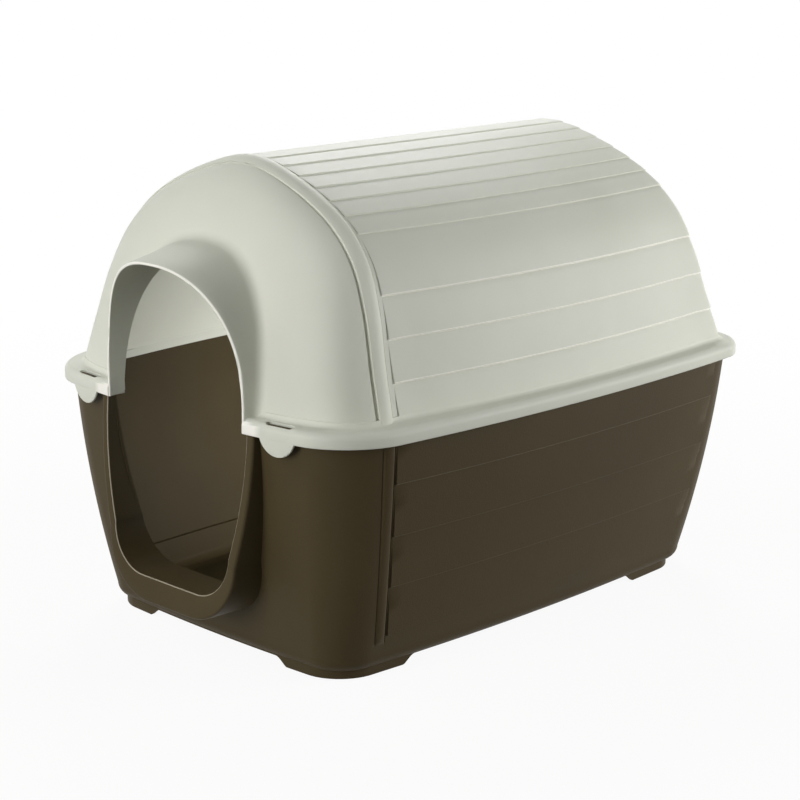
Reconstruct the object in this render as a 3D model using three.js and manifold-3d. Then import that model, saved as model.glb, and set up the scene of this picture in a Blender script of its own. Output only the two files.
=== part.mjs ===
// Domed two-part pet kennel: a dark tub with a door collar, and a lift-off barrel roof with a
// hood over the door, clapboards along the back and a louvred vent in the rear gable.
// Millimetres. +X right, +Y from the door to the rear, +Z up. The origin is on the floor,
// in the middle of the kennel's length and width.

import * as THREE from 'three';
import { mergeVertices } from 'three/addons/utils/BufferGeometryUtils.js';
import Module from 'manifold-3d';

const wasm = await Module();
wasm.setup();

// ---------- driving dimensions ----------

// clearances
const FIT_GAP = 0.3;
const RIM_FIT = 0.8;

// roof rim: the flange round the foot of the roof, in plan
const RIM_HALF_WIDTH = 223;
const RIM_LENGTH = 592.5;
const RIM_FRONT = -279;
const RIM_REAR = RIM_FRONT + RIM_LENGTH;
const RIM_FRONT_RADIUS = 57.5;
const RIM_REAR_RADIUS = 45;
const RIM_SIDE_BOW = 17.6;
const RIM_FRONT_BOW = 19.6;
const RIM_REAR_BOW = 4.3;
const LEDGE_TOP = 253.6;
const SKIRT_DROP = 14.6;
const SKIRT_BOTTOM = LEDGE_TOP - SKIRT_DROP;
const SKIRT_WALL = 3;
const LEDGE_WALL = 3;
const RIM_EDGE_RADIUS = 7;
const LIP_DEPTH = 8;
const COVE = 5;

// roof arch: half of its section from the crest to the foot, as x and height above the ledge
const ARCH_POINTS = [
  [0, 218.9], [62, 205], [124, 175.9], [161, 141.4], [181, 98.4], [194, 48.4], [208, 0]];
const ARCH_BOW = 14;
const ARCH_BOW_REACH = 1.4;
const ARCH_SETBACK = 93;
const ARCH_FRONT = RIM_FRONT + ARCH_SETBACK;
const ARCH_FRONT_LEAN = 0.075;
const GABLE_SETBACK = 68;
const GABLE_REAR = RIM_REAR - GABLE_SETBACK;
const GABLE_LEAN = 0.215;
const GABLE_EDGE_TOP = 7;
const GABLE_EDGE_FOOT = 24;
const GABLE_EDGE_FADE = 1.6;
const ROOF_WALL = 3;

// rib in front of the roof boards; it starts further ahead of them at its foot than at the crest
const RIB_WIDTH = 17.5;
const RIB_PROUD = 3.4;
const RIB_SUNK = 0.6;
const RIB_CREST_AHEAD = -1;
const RIB_FOOT_AHEAD = 6;

// roof boards, as lengths along the arch from the crest
const RIDGE_HALF_BOARD = 15.5;
const SLAT_PITCH = 23.6;
const SLAT_COUNT = 6;
const SIDE_BOARDS = [62.5, 40, 39.5];
const SLAT_PROUD = 1.2;
const SIDE_BOARD_PROUD = 1.4;
const BOARD_STEP = 0.9;

// rounded front of the roof
const DOME_DEPTH = 77;
const DOME_FOOT_POWER = 3.45;
const DOME_TOP_POWER = 2.2;

// door and hood
const DOOR_HALF_WIDTH = 98;
const DOOR_SPRING = LEDGE_TOP + 1.4;
const DOOR_TOP = LEDGE_TOP + 129.9;
const DOOR_ARCH_POWER = 2.38;
const HOOD_REACH = 14.5;
const HOOD_FRONT = RIM_FRONT - HOOD_REACH;
const HOOD_BOW = 24.3;
const HOOD_WALL = 3;
const HOOD_DRAFT = 0.2;
const HOOD_FILLET = 11;
const JAMB_DEPTH = 19;

// latch points of the rim
const LATCH_X = 141.5;
const SLOT_LENGTH = 33;
const SLOT_WIDTH = 7.5;
const TONGUE_LENGTH = 28;
const TONGUE_WALL = 3;
const TONGUE_ROOT = 6;
const TONGUE_SUNK = 1.2;
const TAB_RADIUS = 22;
const TAB_DROP = 14.7;

// tub walls; each lean is the way that the wall comes in from the rim to the floor,
// as a straight share and a curved share
const TUB_WALL = 3;
const TUB_INSET = 8.7;
const TUB_SIDE_LEAN = [21, 20.8];
const TUB_FRONT_LEAN = [9, 16.1];
const TUB_REAR_LEAN = [10.4, 12.5];
const TUB_FRONT_RADIUS = [53.7, 36];
const TUB_REAR_RADIUS = 45;
const TUB_FOOT_SIDE_BOW = 10.7;
const TUB_FOOT_FRONT_BOW = 5.3;
const TUB_UNDERSIDE = 8.5;
const TUB_FLANGE = 8.5;
const TUB_EDGE_RADIUS = 13;
const FLOOR_WALL = 3;
const FLOOR_PANEL_RISE = 3;
const FLOOR_GUTTER = 14;
const INNER_STEP_HEIGHT = 42;
const INNER_STEP = 3;

// boards on the tub's sides, and the bead in front of them
const TUB_BOARD_PITCH = 52;
const TUB_BOARD_COUNT = 4;
const TUB_BOARD_FOOT = 42;
const TUB_BOARD_PROUD = 1.4;
const TUB_BOARD_REAR = 48;
const TUB_BEAD_OFFSET = 40;
const TUB_BEAD_WIDTH = 14;
const TUB_BEAD_PROUD = 1.8;
const TUB_BEAD_GAP = 1.5;

// door collar on the tub
const COLLAR_REACH = 13;
const COLLAR_FRONT = RIM_FRONT - COLLAR_REACH;
const COLLAR_TILT = 0.08;
const SILL_HEIGHT = 73.4;
const COLLAR_TOP_HALF = 103;
const COLLAR_SILL_HALF = 84.7;
const COLLAR_RADIUS = 44;
const COLLAR_BOW = 5.1;
const COLLAR_SIDE_FACE = 9;
const COLLAR_SILL_FACE = 26;
const COLLAR_OUTER_RADIUS = 62;
const COLLAR_DEPTH = 70;
const COLLAR_EDGE = 0.8;
const DOORWAY_DEPTH = 120;

// feet
const FOOT_CLEAR = 0.8;
const FOOT_WALL = 3;
const FOOT_SIDE_INSET = 7.4;
const FOOT_FRONT_INSET = 5.4;
const FOOT_REAR_INSET = 16.5;
const FOOT_FRONT_RADIUS = 39;
const FOOT_REAR_RADIUS = 36;
const FOOT_ROOT = 2.8;
const FRONT_NOTCH_HALF = 88;
const FRONT_FOOT_LENGTH = 130;
const REAR_FOOT_LENGTH = 146.5;
const NOTCH_CURVE = 19;
const PAD_RADIUS = 12;
const PAD_HEIGHT = 4;
const PAD_BOSS_RADIUS = 15.5;
const PAD_INSET = 30;

// drain plug
const DRAIN_FROM_REAR = 52;
const DRAIN_RADIUS = 8;
const DRAIN_BAY_RADIUS = 22;
const PLUG_HEAD_RADIUS = 12;
const PLUG_HEAD_HEIGHT = 3;

// rear vent, in the leaning frame of the gable
const VENT_CENTRE_HEIGHT = LEDGE_TOP + 168.4;
const VENT_WIDTH = 104;
const VENT_HEIGHT = 46;
const VENT_FRAME = 2.5;
const VENT_PROUD = 15;
const VENT_BORDER = 9;
const VENT_SLEEVE_WALL = 2;
const LOUVRE_COUNT = 4;
const LOUVRE_WALL = 2;
const LOUVRE_FALL = 0.7;
const SHUTTER_SLOTS = 5;
const SHUTTER_PITCH = 13;
const SHUTTER_SLOT_WIDTH = 6;
const SHUTTER_WALL = 2;
const SHUTTER_GRIP = 12;
const SLOT_MARGIN = 3;
const GUIDE_LIP = 1.6;

// how far a cutting solid runs past what it cuts
const CUT_PAST = 20;

// colours
const ROOF_COLOUR = 0xd6d8cd;
const TUB_COLOUR = 0x463a2f;
const RUBBER_COLOUR = 0x1f1d1b;

// ---------- solids ----------

function solidOf(geometry) {
  const bare = geometry.clone();
  bare.deleteAttribute('normal');
  bare.deleteAttribute('uv');
  const merged = mergeVertices(bare, 1e-4);
  return new wasm.Manifold(new wasm.Mesh({
    numProp: 3,
    vertProperties: merged.attributes.position.array,
    triVerts: new Uint32Array(merged.index.array),
  }));
}

function geometryOf(solid) {
  const mesh = solid.getMesh();
  const geometry = new THREE.BufferGeometry();
  const points = new Float32Array(mesh.numVert * 3);
  for (let i = 0; i < mesh.numVert; i += 1) {
    for (let k = 0; k < 3; k += 1) {
      points[3 * i + k] = mesh.vertProperties[mesh.numProp * i + k];
    }
  }
  geometry.setAttribute('position', new THREE.BufferAttribute(points, 3));
  geometry.setIndex(new THREE.BufferAttribute(new Uint32Array(mesh.triVerts), 1));
  return geometry;
}

// A closed skin over a stack of rings with equal point counts, with a fan over each end.
function loft(rings) {
  const count = rings[0].length;
  const points = rings.flat().map((p) => p.clone());
  const triangles = [];
  for (let i = 0; i < rings.length - 1; i += 1) {
    for (let j = 0; j < count; j += 1) {
      const next = (j + 1) % count;
      const a = i * count + j;
      const b = i * count + next;
      const c = b + count;
      const d = a + count;
      triangles.push([a, b, c], [a, c, d]);
    }
  }
  const addFan = (start, flip) => {
    const ring = points.slice(start, start + count);
    const hub = points.length;
    points.push(ring.reduce((sum, p) => sum.add(p), new THREE.Vector3()).divideScalar(count));
    for (let j = 0; j < count; j += 1) {
      const a = start + j;
      const b = start + (j + 1) % count;
      triangles.push(flip ? [b, a, hub] : [a, b, hub]);
    }
  };
  addFan(0, true);
  addFan((rings.length - 1) * count, false);
  const cross = new THREE.Vector3();
  const volume = triangles.reduce((sum, [a, b, c]) => (
    sum + points[a].dot(cross.crossVectors(points[b], points[c]))), 0);
  const outward = volume > 0 ? triangles : triangles.map(([a, b, c]) => [a, c, b]);
  const geometry = new THREE.BufferGeometry().setFromPoints(points);
  geometry.setIndex(outward.flat());
  return solidOf(geometry);
}

// An outline pushed along 'x', 'y' or 'z'. Its points are [y, z], [x, z] or [x, y].
function prism(outline, axis, from, to) {
  const place = {
    x: (u, v, w) => new THREE.Vector3(w, u, v),
    y: (u, v, w) => new THREE.Vector3(u, w, v),
    z: (u, v, w) => new THREE.Vector3(u, v, w),
  }[axis];
  const shape = new THREE.Shape(outline.map(([u, v]) => new THREE.Vector2(u, v)));
  const geometry = new THREE.ExtrudeGeometry(shape, { depth: to - from, bevelEnabled: false });
  const position = geometry.attributes.position;
  for (let i = 0; i < position.count; i += 3) {
    const corners = [0, 1, 2].map((k) => place(
      position.getX(i + k), position.getY(i + k), position.getZ(i + k) + from));
    const order = axis === 'y' ? [0, 2, 1] : [0, 1, 2];
    order.forEach((k, slot) => position.setXYZ(i + slot, ...corners[k].toArray()));
  }
  return solidOf(geometry);
}

function block(x0, x1, y0, y1, z0, z1) {
  return prism([[x0, y0], [x1, y0], [x1, y1], [x0, y1]], 'z', z0, z1);
}

function disc(radius, x, y, z0, z1, sides = 24) {
  const geometry = new THREE.CylinderGeometry(radius, radius, z1 - z0, sides);
  geometry.rotateX(Math.PI / 2);
  geometry.translate(x, y, (z0 + z1) / 2);
  return solidOf(geometry);
}

function union(solids) {
  return solids.reduce((sum, solid) => sum.add(solid));
}

function ramp(from, to, steps) {
  return Array.from({ length: steps + 1 }, (_, i) => from + (to - from) * i / steps);
}

function mix(a, b, t) {
  return a + (b - a) * t;
}

// A point of a superellipse by its angle, as shares of the two half axes.
function superPoint(angle, power) {
  return [Math.cos(angle), Math.sin(angle)].map((v) => Math.sign(v) * Math.abs(v) ** (2 / power));
}

// ---------- plan outlines ----------

const CORNER_STEPS = 6;
const FRONT_STEPS = 4;
const REAR_STEPS = 2;

// A rounded rectangle in plan whose sides, front and rear bow outward. The stations are the
// distances from the front at which each side has a point.
function planRing(plan, z, stations, relief = () => 0) {
  const { halfWidth, front, rear, frontRadius, rearRadius } = plan;
  const length = rear - front;
  const cut = (radius, distance) => (
    distance < radius ? radius - Math.sqrt(radius ** 2 - (radius - distance) ** 2) : 0);
  const half = ramp(0, halfWidth - frontRadius, FRONT_STEPS).slice(0, -1).map((x) => [x, front]);
  const frontEnd = Math.asin(stations[0] / frontRadius - 1);
  for (const a of ramp(-Math.PI / 2, frontEnd, CORNER_STEPS).slice(0, -1)) {
    half.push([
      halfWidth - frontRadius * (1 - Math.cos(a)), front + frontRadius * (1 + Math.sin(a))]);
  }
  for (const station of stations) {
    const x = halfWidth - cut(frontRadius, station) - cut(rearRadius, length - station);
    half.push([x + relief(station, length, z), front + station]);
  }
  const rearStart = Math.asin(1 - (length - stations.at(-1)) / rearRadius);
  for (const a of ramp(rearStart, Math.PI / 2, CORNER_STEPS).slice(1)) {
    half.push([
      halfWidth - rearRadius * (1 - Math.cos(a)), rear - rearRadius * (1 - Math.sin(a))]);
  }
  half.push(...ramp(halfWidth - rearRadius, 0, REAR_STEPS).slice(1).map((x) => [x, rear]));
  const right = half.map(([x, y]) => bowed(plan, x, y, z));
  const left = right.slice(1, -1).reverse().map((p) => new THREE.Vector3(-p.x, p.y, p.z));
  return [...right, ...left];
}

function bowed(plan, x, y, z) {
  const along = (2 * y - plan.front - plan.rear) / (plan.rear - plan.front);
  const across = x / plan.halfWidth;
  const swell = 1 - across ** 2;
  return new THREE.Vector3(
    x + plan.sideBow * (1 - along ** 2) * across,
    y - plan.frontBow * swell * Math.max(0, -along) + plan.rearBow * swell * Math.max(0, along),
    z,
  );
}

function plainStations(plan, steps) {
  return ramp(plan.frontRadius, plan.rear - plan.front - plan.rearRadius, steps);
}

function inset(plan, by) {
  return {
    ...plan,
    halfWidth: plan.halfWidth - by,
    front: plan.front + by,
    rear: plan.rear - by,
    frontRadius: Math.max(plan.frontRadius - by, 6),
    rearRadius: Math.max(plan.rearRadius - by, 6),
  };
}

function column(plan, from, to, steps) {
  return loft([from, to].map((z) => planRing(plan, z, plainStations(plan, steps))));
}

const rimPlan = {
  halfWidth: RIM_HALF_WIDTH,
  front: RIM_FRONT,
  rear: RIM_REAR,
  frontRadius: RIM_FRONT_RADIUS,
  rearRadius: RIM_REAR_RADIUS,
  sideBow: RIM_SIDE_BOW,
  frontBow: RIM_FRONT_BOW,
  rearBow: RIM_REAR_BOW,
};

// ---------- tub ----------

const WALL_TOP = LEDGE_TOP - LEDGE_WALL - FIT_GAP;
const FLOOR_TOP = TUB_UNDERSIDE + FLOOR_WALL;
const PANEL_TOP = FLOOR_TOP + FLOOR_PANEL_RISE;

function tubPlan(z) {
  const drop = Math.max(0, 1 - z / SKIRT_BOTTOM);
  const lean = ([straight, curved]) => straight * drop + curved * drop ** 2;
  const top = inset(rimPlan, TUB_INSET);
  return {
    ...top,
    halfWidth: top.halfWidth - lean(TUB_SIDE_LEAN),
    front: top.front + lean(TUB_FRONT_LEAN),
    rear: top.rear - lean(TUB_REAR_LEAN),
    frontRadius: mix(...TUB_FRONT_RADIUS, drop),
    rearRadius: TUB_REAR_RADIUS,
    sideBow: mix(top.sideBow, TUB_FOOT_SIDE_BOW, drop),
    frontBow: mix(top.frontBow, TUB_FOOT_FRONT_BOW, drop),
  };
}

function panelStations(length) {
  const bead = [0, 0.12, 0.5, 0.88, 1].map((share) => TUB_BEAD_OFFSET + share * TUB_BEAD_WIDTH);
  const edge = bead.at(-1) + TUB_BEAD_GAP;
  const rearEdge = length - TUB_BOARD_REAR;
  return [...bead, edge, ...ramp(edge + BOARD_STEP, rearEdge - BOARD_STEP, 5), rearEdge];
}

// How far the board or bead stands out of the tub's side, below the roof's skirt.
function sideRelief(station, length, z) {
  const bead = (station - TUB_BEAD_OFFSET) / TUB_BEAD_WIDTH;
  if (z < TUB_BOARD_FOOT || z > SKIRT_BOTTOM - BOARD_STEP) {
    return 0;
  }
  if (bead <= 1) {
    return TUB_BEAD_PROUD * Math.sqrt(Math.max(0, 1 - (2 * bead - 1) ** 2));
  }
  const boardFront = TUB_BEAD_OFFSET + TUB_BEAD_WIDTH + TUB_BEAD_GAP + BOARD_STEP / 2;
  if (station < boardFront || station > length - TUB_BOARD_REAR - BOARD_STEP / 2) {
    return 0;
  }
  const board = Math.min(TUB_BOARD_COUNT - 1, Math.floor((z - TUB_BOARD_FOOT) / TUB_BOARD_PITCH));
  const above = (z - TUB_BOARD_FOOT) - board * TUB_BOARD_PITCH;
  return TUB_BOARD_PROUD * (1 - above / TUB_BOARD_PITCH);
}

function tubOutside() {
  const rings = [];
  for (const a of ramp(Math.PI / 2, 0, 4)) {
    const plan = inset(tubPlan(TUB_UNDERSIDE + TUB_EDGE_RADIUS), TUB_EDGE_RADIUS * (1 - Math.cos(a)));
    const z = TUB_UNDERSIDE + TUB_EDGE_RADIUS * (1 - Math.sin(a));
    rings.push(planRing(plan, z, panelStations(plan.rear - plan.front)));
  }
  const levels = [];
  for (let board = 0; board < TUB_BOARD_COUNT; board += 1) {
    const foot = TUB_BOARD_FOOT + board * TUB_BOARD_PITCH;
    const head = Math.min(foot + TUB_BOARD_PITCH, SKIRT_BOTTOM - BOARD_STEP) - BOARD_STEP;
    levels.push(foot, head);
  }
  for (const z of [TUB_BOARD_FOOT - BOARD_STEP, ...levels, SKIRT_BOTTOM, WALL_TOP]) {
    const plan = tubPlan(z);
    rings.push(planRing(plan, z, panelStations(plan.rear - plan.front), sideRelief));
  }
  return loft(rings);
}

function tubInside() {
  const rings = [];
  const floorEdge = TUB_EDGE_RADIUS - FLOOR_WALL;
  const wallPlan = (z) => inset(tubPlan(z), TUB_WALL + (z < INNER_STEP_HEIGHT ? INNER_STEP : 0));
  for (const a of ramp(Math.PI / 2, 0, 3)) {
    const plan = inset(wallPlan(FLOOR_TOP + floorEdge), floorEdge * (1 - Math.cos(a)));
    rings.push(planRing(plan, FLOOR_TOP + floorEdge * (1 - Math.sin(a)), plainStations(plan, 4)));
  }
  const levels = [
    INNER_STEP_HEIGHT - BOARD_STEP, INNER_STEP_HEIGHT,
    ...ramp(INNER_STEP_HEIGHT, WALL_TOP, 3).slice(1, -1), WALL_TOP + 1,
  ];
  for (const z of levels) {
    rings.push(planRing(wallPlan(z), z, plainStations(wallPlan(z), 4)));
  }
  return loft(rings);
}

// A U outline in front view, closed across its top.
function collarOutline(top, topHalf, sillHalf, sill, radius, bow) {
  const right = [];
  for (const t of ramp(0, 1, 8)) {
    right.push([
      mix(topHalf, sillHalf, t) + 4 * bow * t * (1 - t), mix(top, sill + radius, t)]);
  }
  for (const a of ramp(0, Math.PI / 2, 8).slice(1)) {
    right.push([sillHalf - radius * (1 - Math.cos(a)), sill + radius * (1 - Math.sin(a))]);
  }
  return [...right, ...right.toReversed().map(([x, z]) => [-x, z])];
}

// The edge of the doorway through the collar.
function collarDoor(top) {
  return collarOutline(
    top, COLLAR_TOP_HALF, COLLAR_SILL_HALF, SILL_HEIGHT, COLLAR_RADIUS, COLLAR_BOW);
}

function collarSolid() {
  const top = SKIRT_BOTTOM - FIT_GAP;
  const outline = (grow) => collarOutline(
    top, COLLAR_TOP_HALF + COLLAR_SIDE_FACE + grow, COLLAR_SILL_HALF + COLLAR_SIDE_FACE + grow,
    SILL_HEIGHT - COLLAR_SILL_FACE - grow, COLLAR_OUTER_RADIUS, COLLAR_BOW);
  const face = (z) => COLLAR_FRONT - COLLAR_TILT * (top - z);
  const ring = (grow, depth) => outline(grow).map(([x, z]) => (
    new THREE.Vector3(x, face(z) + depth, z)));
  return loft([ring(-COLLAR_EDGE, 0), ring(0, COLLAR_EDGE), ring(2 * COLLAR_EDGE, COLLAR_DEPTH)]);
}

function footPlan() {
  const plan = tubPlan(TUB_UNDERSIDE + TUB_EDGE_RADIUS);
  return {
    ...plan,
    halfWidth: plan.halfWidth - FOOT_SIDE_INSET,
    front: plan.front + FOOT_FRONT_INSET,
    rear: plan.rear - FOOT_REAR_INSET,
    frontRadius: FOOT_FRONT_RADIUS,
    rearRadius: FOOT_REAR_RADIUS,
  };
}

// The ring under the tub, cut into four feet by the gaps between them.
function feet() {
  const plan = footPlan();
  const frontNotch = prism(
    notchOutline(-FRONT_NOTCH_HALF, FRONT_NOTCH_HALF), 'y', RIM_FRONT - CUT_PAST, RIM_REAR + CUT_PAST);
  const sideNotch = prism(
    notchOutline(RIM_FRONT + FRONT_FOOT_LENGTH, RIM_REAR - REAR_FOOT_LENGTH),
    'x', -RIM_HALF_WIDTH, RIM_HALF_WIDTH);
  return column(plan, FOOT_CLEAR, TUB_UNDERSIDE + FOOT_ROOT, 4)
    .subtract(column(inset(plan, FOOT_WALL), -1, TUB_UNDERSIDE + 0.5, 4))
    .subtract(frontNotch)
    .subtract(sideNotch);
}

// The gap between two feet in elevation, with S-curved ends.
function notchOutline(from, to) {
  const ends = [];
  for (const t of ramp(0, 1, 8)) {
    const rise = (1 - Math.cos(Math.PI * t)) / 2;
    ends.push([NOTCH_CURVE * (t - 1), (TUB_UNDERSIDE + 1) * rise]);
  }
  const left = ends.map(([u, z]) => [from + u, z]);
  const right = ends.map(([u, z]) => [to - u, z]).reverse();
  return [[from - NOTCH_CURVE, -1], ...left, ...right, [to + NOTCH_CURVE, -1]];
}

function padPlaces() {
  const plan = footPlan();
  const x = plan.halfWidth - PAD_INSET;
  return {
    front_left: [-x, plan.front + PAD_INSET],
    front_right: [x, plan.front + PAD_INSET],
    rear_left: [-x, plan.rear - PAD_INSET],
    rear_right: [x, plan.rear - PAD_INSET],
  };
}

// Where the four latches sit on the rim: the place on its outer face and the frame there,
// with local y pointing inward and local x along the rim.
function latchFrames() {
  return [-LATCH_X, LATCH_X].flatMap((x) => {
    const swell = 1 - (x / RIM_HALF_WIDTH) ** 2;
    const slope = 2 * x / RIM_HALF_WIDTH ** 2;
    const front = new THREE.Matrix4().makeRotationZ(Math.atan(slope * RIM_FRONT_BOW));
    const rear = new THREE.Matrix4().makeRotationZ(Math.PI - Math.atan(slope * RIM_REAR_BOW));
    return [
      front.setPosition(x, RIM_FRONT - RIM_FRONT_BOW * swell, 0),
      rear.setPosition(x, RIM_REAR + RIM_REAR_BOW * swell, 0),
    ];
  });
}

function atLatches(solid) {
  return latchFrames().map((frame) => solid.transform(frame.elements));
}

const drainY = () => tubPlan(FLOOR_TOP).rear - DRAIN_FROM_REAR;

function makeTub() {
  const floorPlan = inset(tubPlan(FLOOR_TOP), TUB_WALL + TUB_EDGE_RADIUS);
  const panelPlan = inset(floorPlan, FLOOR_GUTTER);
  const flangePlan = inset(rimPlan, SKIRT_WALL + RIM_FIT);
  const rimFlange = column(flangePlan, WALL_TOP - TUB_FLANGE, WALL_TOP, 5);
  const panel = column(panelPlan, FLOOR_TOP - 1, PANEL_TOP, 3);
  const recess = column(inset(panelPlan, FLOOR_WALL), -1, PANEL_TOP - FLOOR_WALL, 3);
  const bay = disc(DRAIN_BAY_RADIUS, 0, drainY(), FLOOR_TOP - 2, PANEL_TOP + 1);
  const bayUnder = disc(DRAIN_BAY_RADIUS + FLOOR_WALL, 0, drainY(), -2, PANEL_TOP);
  const bosses = Object.values(padPlaces()).map(([x, y]) => (
    disc(PAD_BOSS_RADIUS, x, y, FOOT_CLEAR, FLOOR_TOP - 1)));
  const sockets = Object.values(padPlaces()).map(([x, y]) => (
    disc(PAD_RADIUS + FIT_GAP, x, y, -1, PAD_HEIGHT + FIT_GAP)));
  const tongueFace = SKIRT_WALL + RIM_FIT + FIT_GAP;
  const tongues = atLatches(block(
    -TONGUE_LENGTH / 2, TONGUE_LENGTH / 2, tongueFace, tongueFace + TONGUE_WALL,
    WALL_TOP - TONGUE_ROOT, LEDGE_TOP - TONGUE_SUNK));
  const farFront = COLLAR_FRONT - CUT_PAST - FRONT_NOTCH_HALF * COLLAR_TILT;
  const doorway = prism(collarDoor(WALL_TOP + 1), 'y', farFront, RIM_FRONT + DOORWAY_DEPTH);
  const jambReach = DOOR_HALF_WIDTH + HOOD_WALL + RIM_FIT;
  const jambRoom = block(
    -jambReach, jambReach, farFront, HOOD_FRONT + COLLAR_DEPTH, SKIRT_BOTTOM - FIT_GAP, WALL_TOP + 1);
  const shell = union([tubOutside(), rimFlange, feet(), collarSolid()])
    .subtract(tubInside())
    .add(panel.subtract(bay))
    .subtract(recess.subtract(bayUnder));
  return union([shell, ...bosses, ...tongues])
    .subtract(union(sockets))
    .subtract(doorway)
    .subtract(jambRoom)
    .subtract(disc(DRAIN_RADIUS, 0, drainY(), 0, PANEL_TOP + 2));
}

// ---------- roof ----------

const CREST = LEDGE_TOP + ARCH_POINTS[0][1];
const archCurve = new THREE.SplineCurve([
  ...ARCH_POINTS.slice(1).reverse().map(([x, rise]) => new THREE.Vector2(x, LEDGE_TOP + rise)),
  ...ARCH_POINTS.map(([x, rise]) => new THREE.Vector2(-x, LEDGE_TOP + rise)),
]);
archCurve.arcLengthDivisions = 800;
const ARCH_LENGTH = archCurve.getLength();

// A point of the arch by its length from the crest, positive to the right, moved outward.
function archPoint(length, outward) {
  const share = Math.min(1, Math.max(0, 0.5 - length / ARCH_LENGTH));
  const point = archCurve.getPointAt(share);
  const tangent = archCurve.getTangentAt(share);
  return [point.x + tangent.y * outward, point.y - tangent.x * outward];
}

function archFront(z) {
  return ARCH_FRONT - ARCH_FRONT_LEAN * (CREST - z);
}

function gableRear(z) {
  return GABLE_REAR + GABLE_LEAN * (CREST - z);
}

// The arch's sides bow outward between the front of the boards and the gable.
function barrelBow(x, y) {
  const along = THREE.MathUtils.clamp((y - ARCH_FRONT) / (GABLE_REAR - ARCH_FRONT), 0, 1);
  const across = THREE.MathUtils.clamp(ARCH_BOW_REACH * x / RIM_HALF_WIDTH, -1, 1);
  return 4 * ARCH_BOW * along * (1 - along) * across;
}

// Lengths along the arch and how far each stands out: a board is flush at its upper edge
// and stands out at its lower edge.
function boardSection() {
  const edges = [[RIDGE_HALF_BOARD, SLAT_PROUD]];
  for (let i = 0; i < SLAT_COUNT; i += 1) {
    edges.push([edges.at(-1)[0] + SLAT_PITCH, SLAT_PROUD]);
  }
  for (const width of SIDE_BOARDS) {
    edges.push([edges.at(-1)[0] + width, SIDE_BOARD_PROUD]);
  }
  edges.push([ARCH_LENGTH / 2, SIDE_BOARD_PROUD]);
  const half = [[0, SLAT_PROUD / 2]];
  let start = 0;
  for (const [end, proud] of edges) {
    const spans = Math.max(1, Math.round((end - start) / SLAT_PITCH));
    const steps = ramp(start, end, spans).slice(1);
    const rise = start === 0 ? mix.bind(null, SLAT_PROUD / 2) : mix.bind(null, 0);
    for (const at of steps) {
      half.push([at, rise(proud, (at - start) / (end - start))]);
    }
    if (end < ARCH_LENGTH / 2) {
      half.push([end + BOARD_STEP, 0]);
      start = end + BOARD_STEP;
    }
  }
  return half;
}

function archRing(section, place) {
  const right = section.map(([length, proud]) => archPoint(length, proud));
  const foot = [right.at(-1)[0], LEDGE_TOP - LEDGE_WALL];
  const half = [...right, foot];
  const left = half.slice(1).map(([x, z]) => [-x, z]).reverse();
  return [...left, ...half].map(([x, z]) => place(x, z));
}

function plainSection(steps, outward = 0) {
  return ramp(0, ARCH_LENGTH / 2, steps).map((s) => [s, outward]);
}

// The barrel from the arch to the gable, whose edge is rounded more at its foot.
function barrel(section, shrink, bays, edgeSteps) {
  const rings = [];
  const put = (share, edge) => archRing(
    section.map(([length, proud]) => [length, proud - shrink]),
    (x, z) => {
      const drop = THREE.MathUtils.clamp((CREST - z) / (CREST - LEDGE_TOP), 0, 1);
      const radius = mix(GABLE_EDGE_TOP, GABLE_EDGE_FOOT, drop);
      const rear = gableRear(z) - shrink - radius * (1 - Math.sin(edge));
      const y = share < 1 ? mix(archFront(z) - 1, gableRear(z) - shrink - radius, share) : rear;
      const inward = share < 1 ? 0 : radius * (1 - Math.cos(edge));
      const sideX = x + barrelBow(x, y) - inward * x / RIM_HALF_WIDTH;
      return new THREE.Vector3(sideX, y, z - inward * Math.max(0, 1 - drop * GABLE_EDGE_FADE));
    },
  );
  for (const share of ramp(0, 1, bays).slice(0, -1)) {
    rings.push(put(share, 0));
  }
  for (const edge of ramp(0, Math.PI / 2, edgeSteps)) {
    rings.push(put(1, edge));
  }
  return loft(rings);
}

function domePower(z) {
  return mix(DOME_TOP_POWER, DOME_FOOT_POWER, (CREST - z) / (CREST - LEDGE_TOP));
}

function domeDepth(z) {
  const rise = THREE.MathUtils.clamp((z - LEDGE_TOP) / (CREST - LEDGE_TOP), 0, 1);
  return DOME_DEPTH * Math.sqrt(1 - rise ** 2);
}

// Half of the roof's width at a height, from the arch.
const archHeights = ramp(0, ARCH_LENGTH / 2, 240).map((s) => archPoint(s, 0));
function archWidth(z) {
  const index = archHeights.findIndex(([, height]) => height <= z);
  if (index <= 0) {
    return index === 0 ? 0 : archHeights.at(-1)[0];
  }
  const [x0, z0] = archHeights[index - 1];
  const [x1, z1] = archHeights[index];
  return mix(x0, x1, (z0 - z) / (z0 - z1));
}

// The dome's outside, as the y of its skin at x and z.
function domeFace(x, z) {
  const level = Math.max(z, LEDGE_TOP);
  const power = domePower(level);
  const across = Math.min(1, Math.abs(x) / archWidth(level));
  return archFront(level) - domeDepth(level) * (1 - across ** power) ** (1 / power);
}

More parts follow.
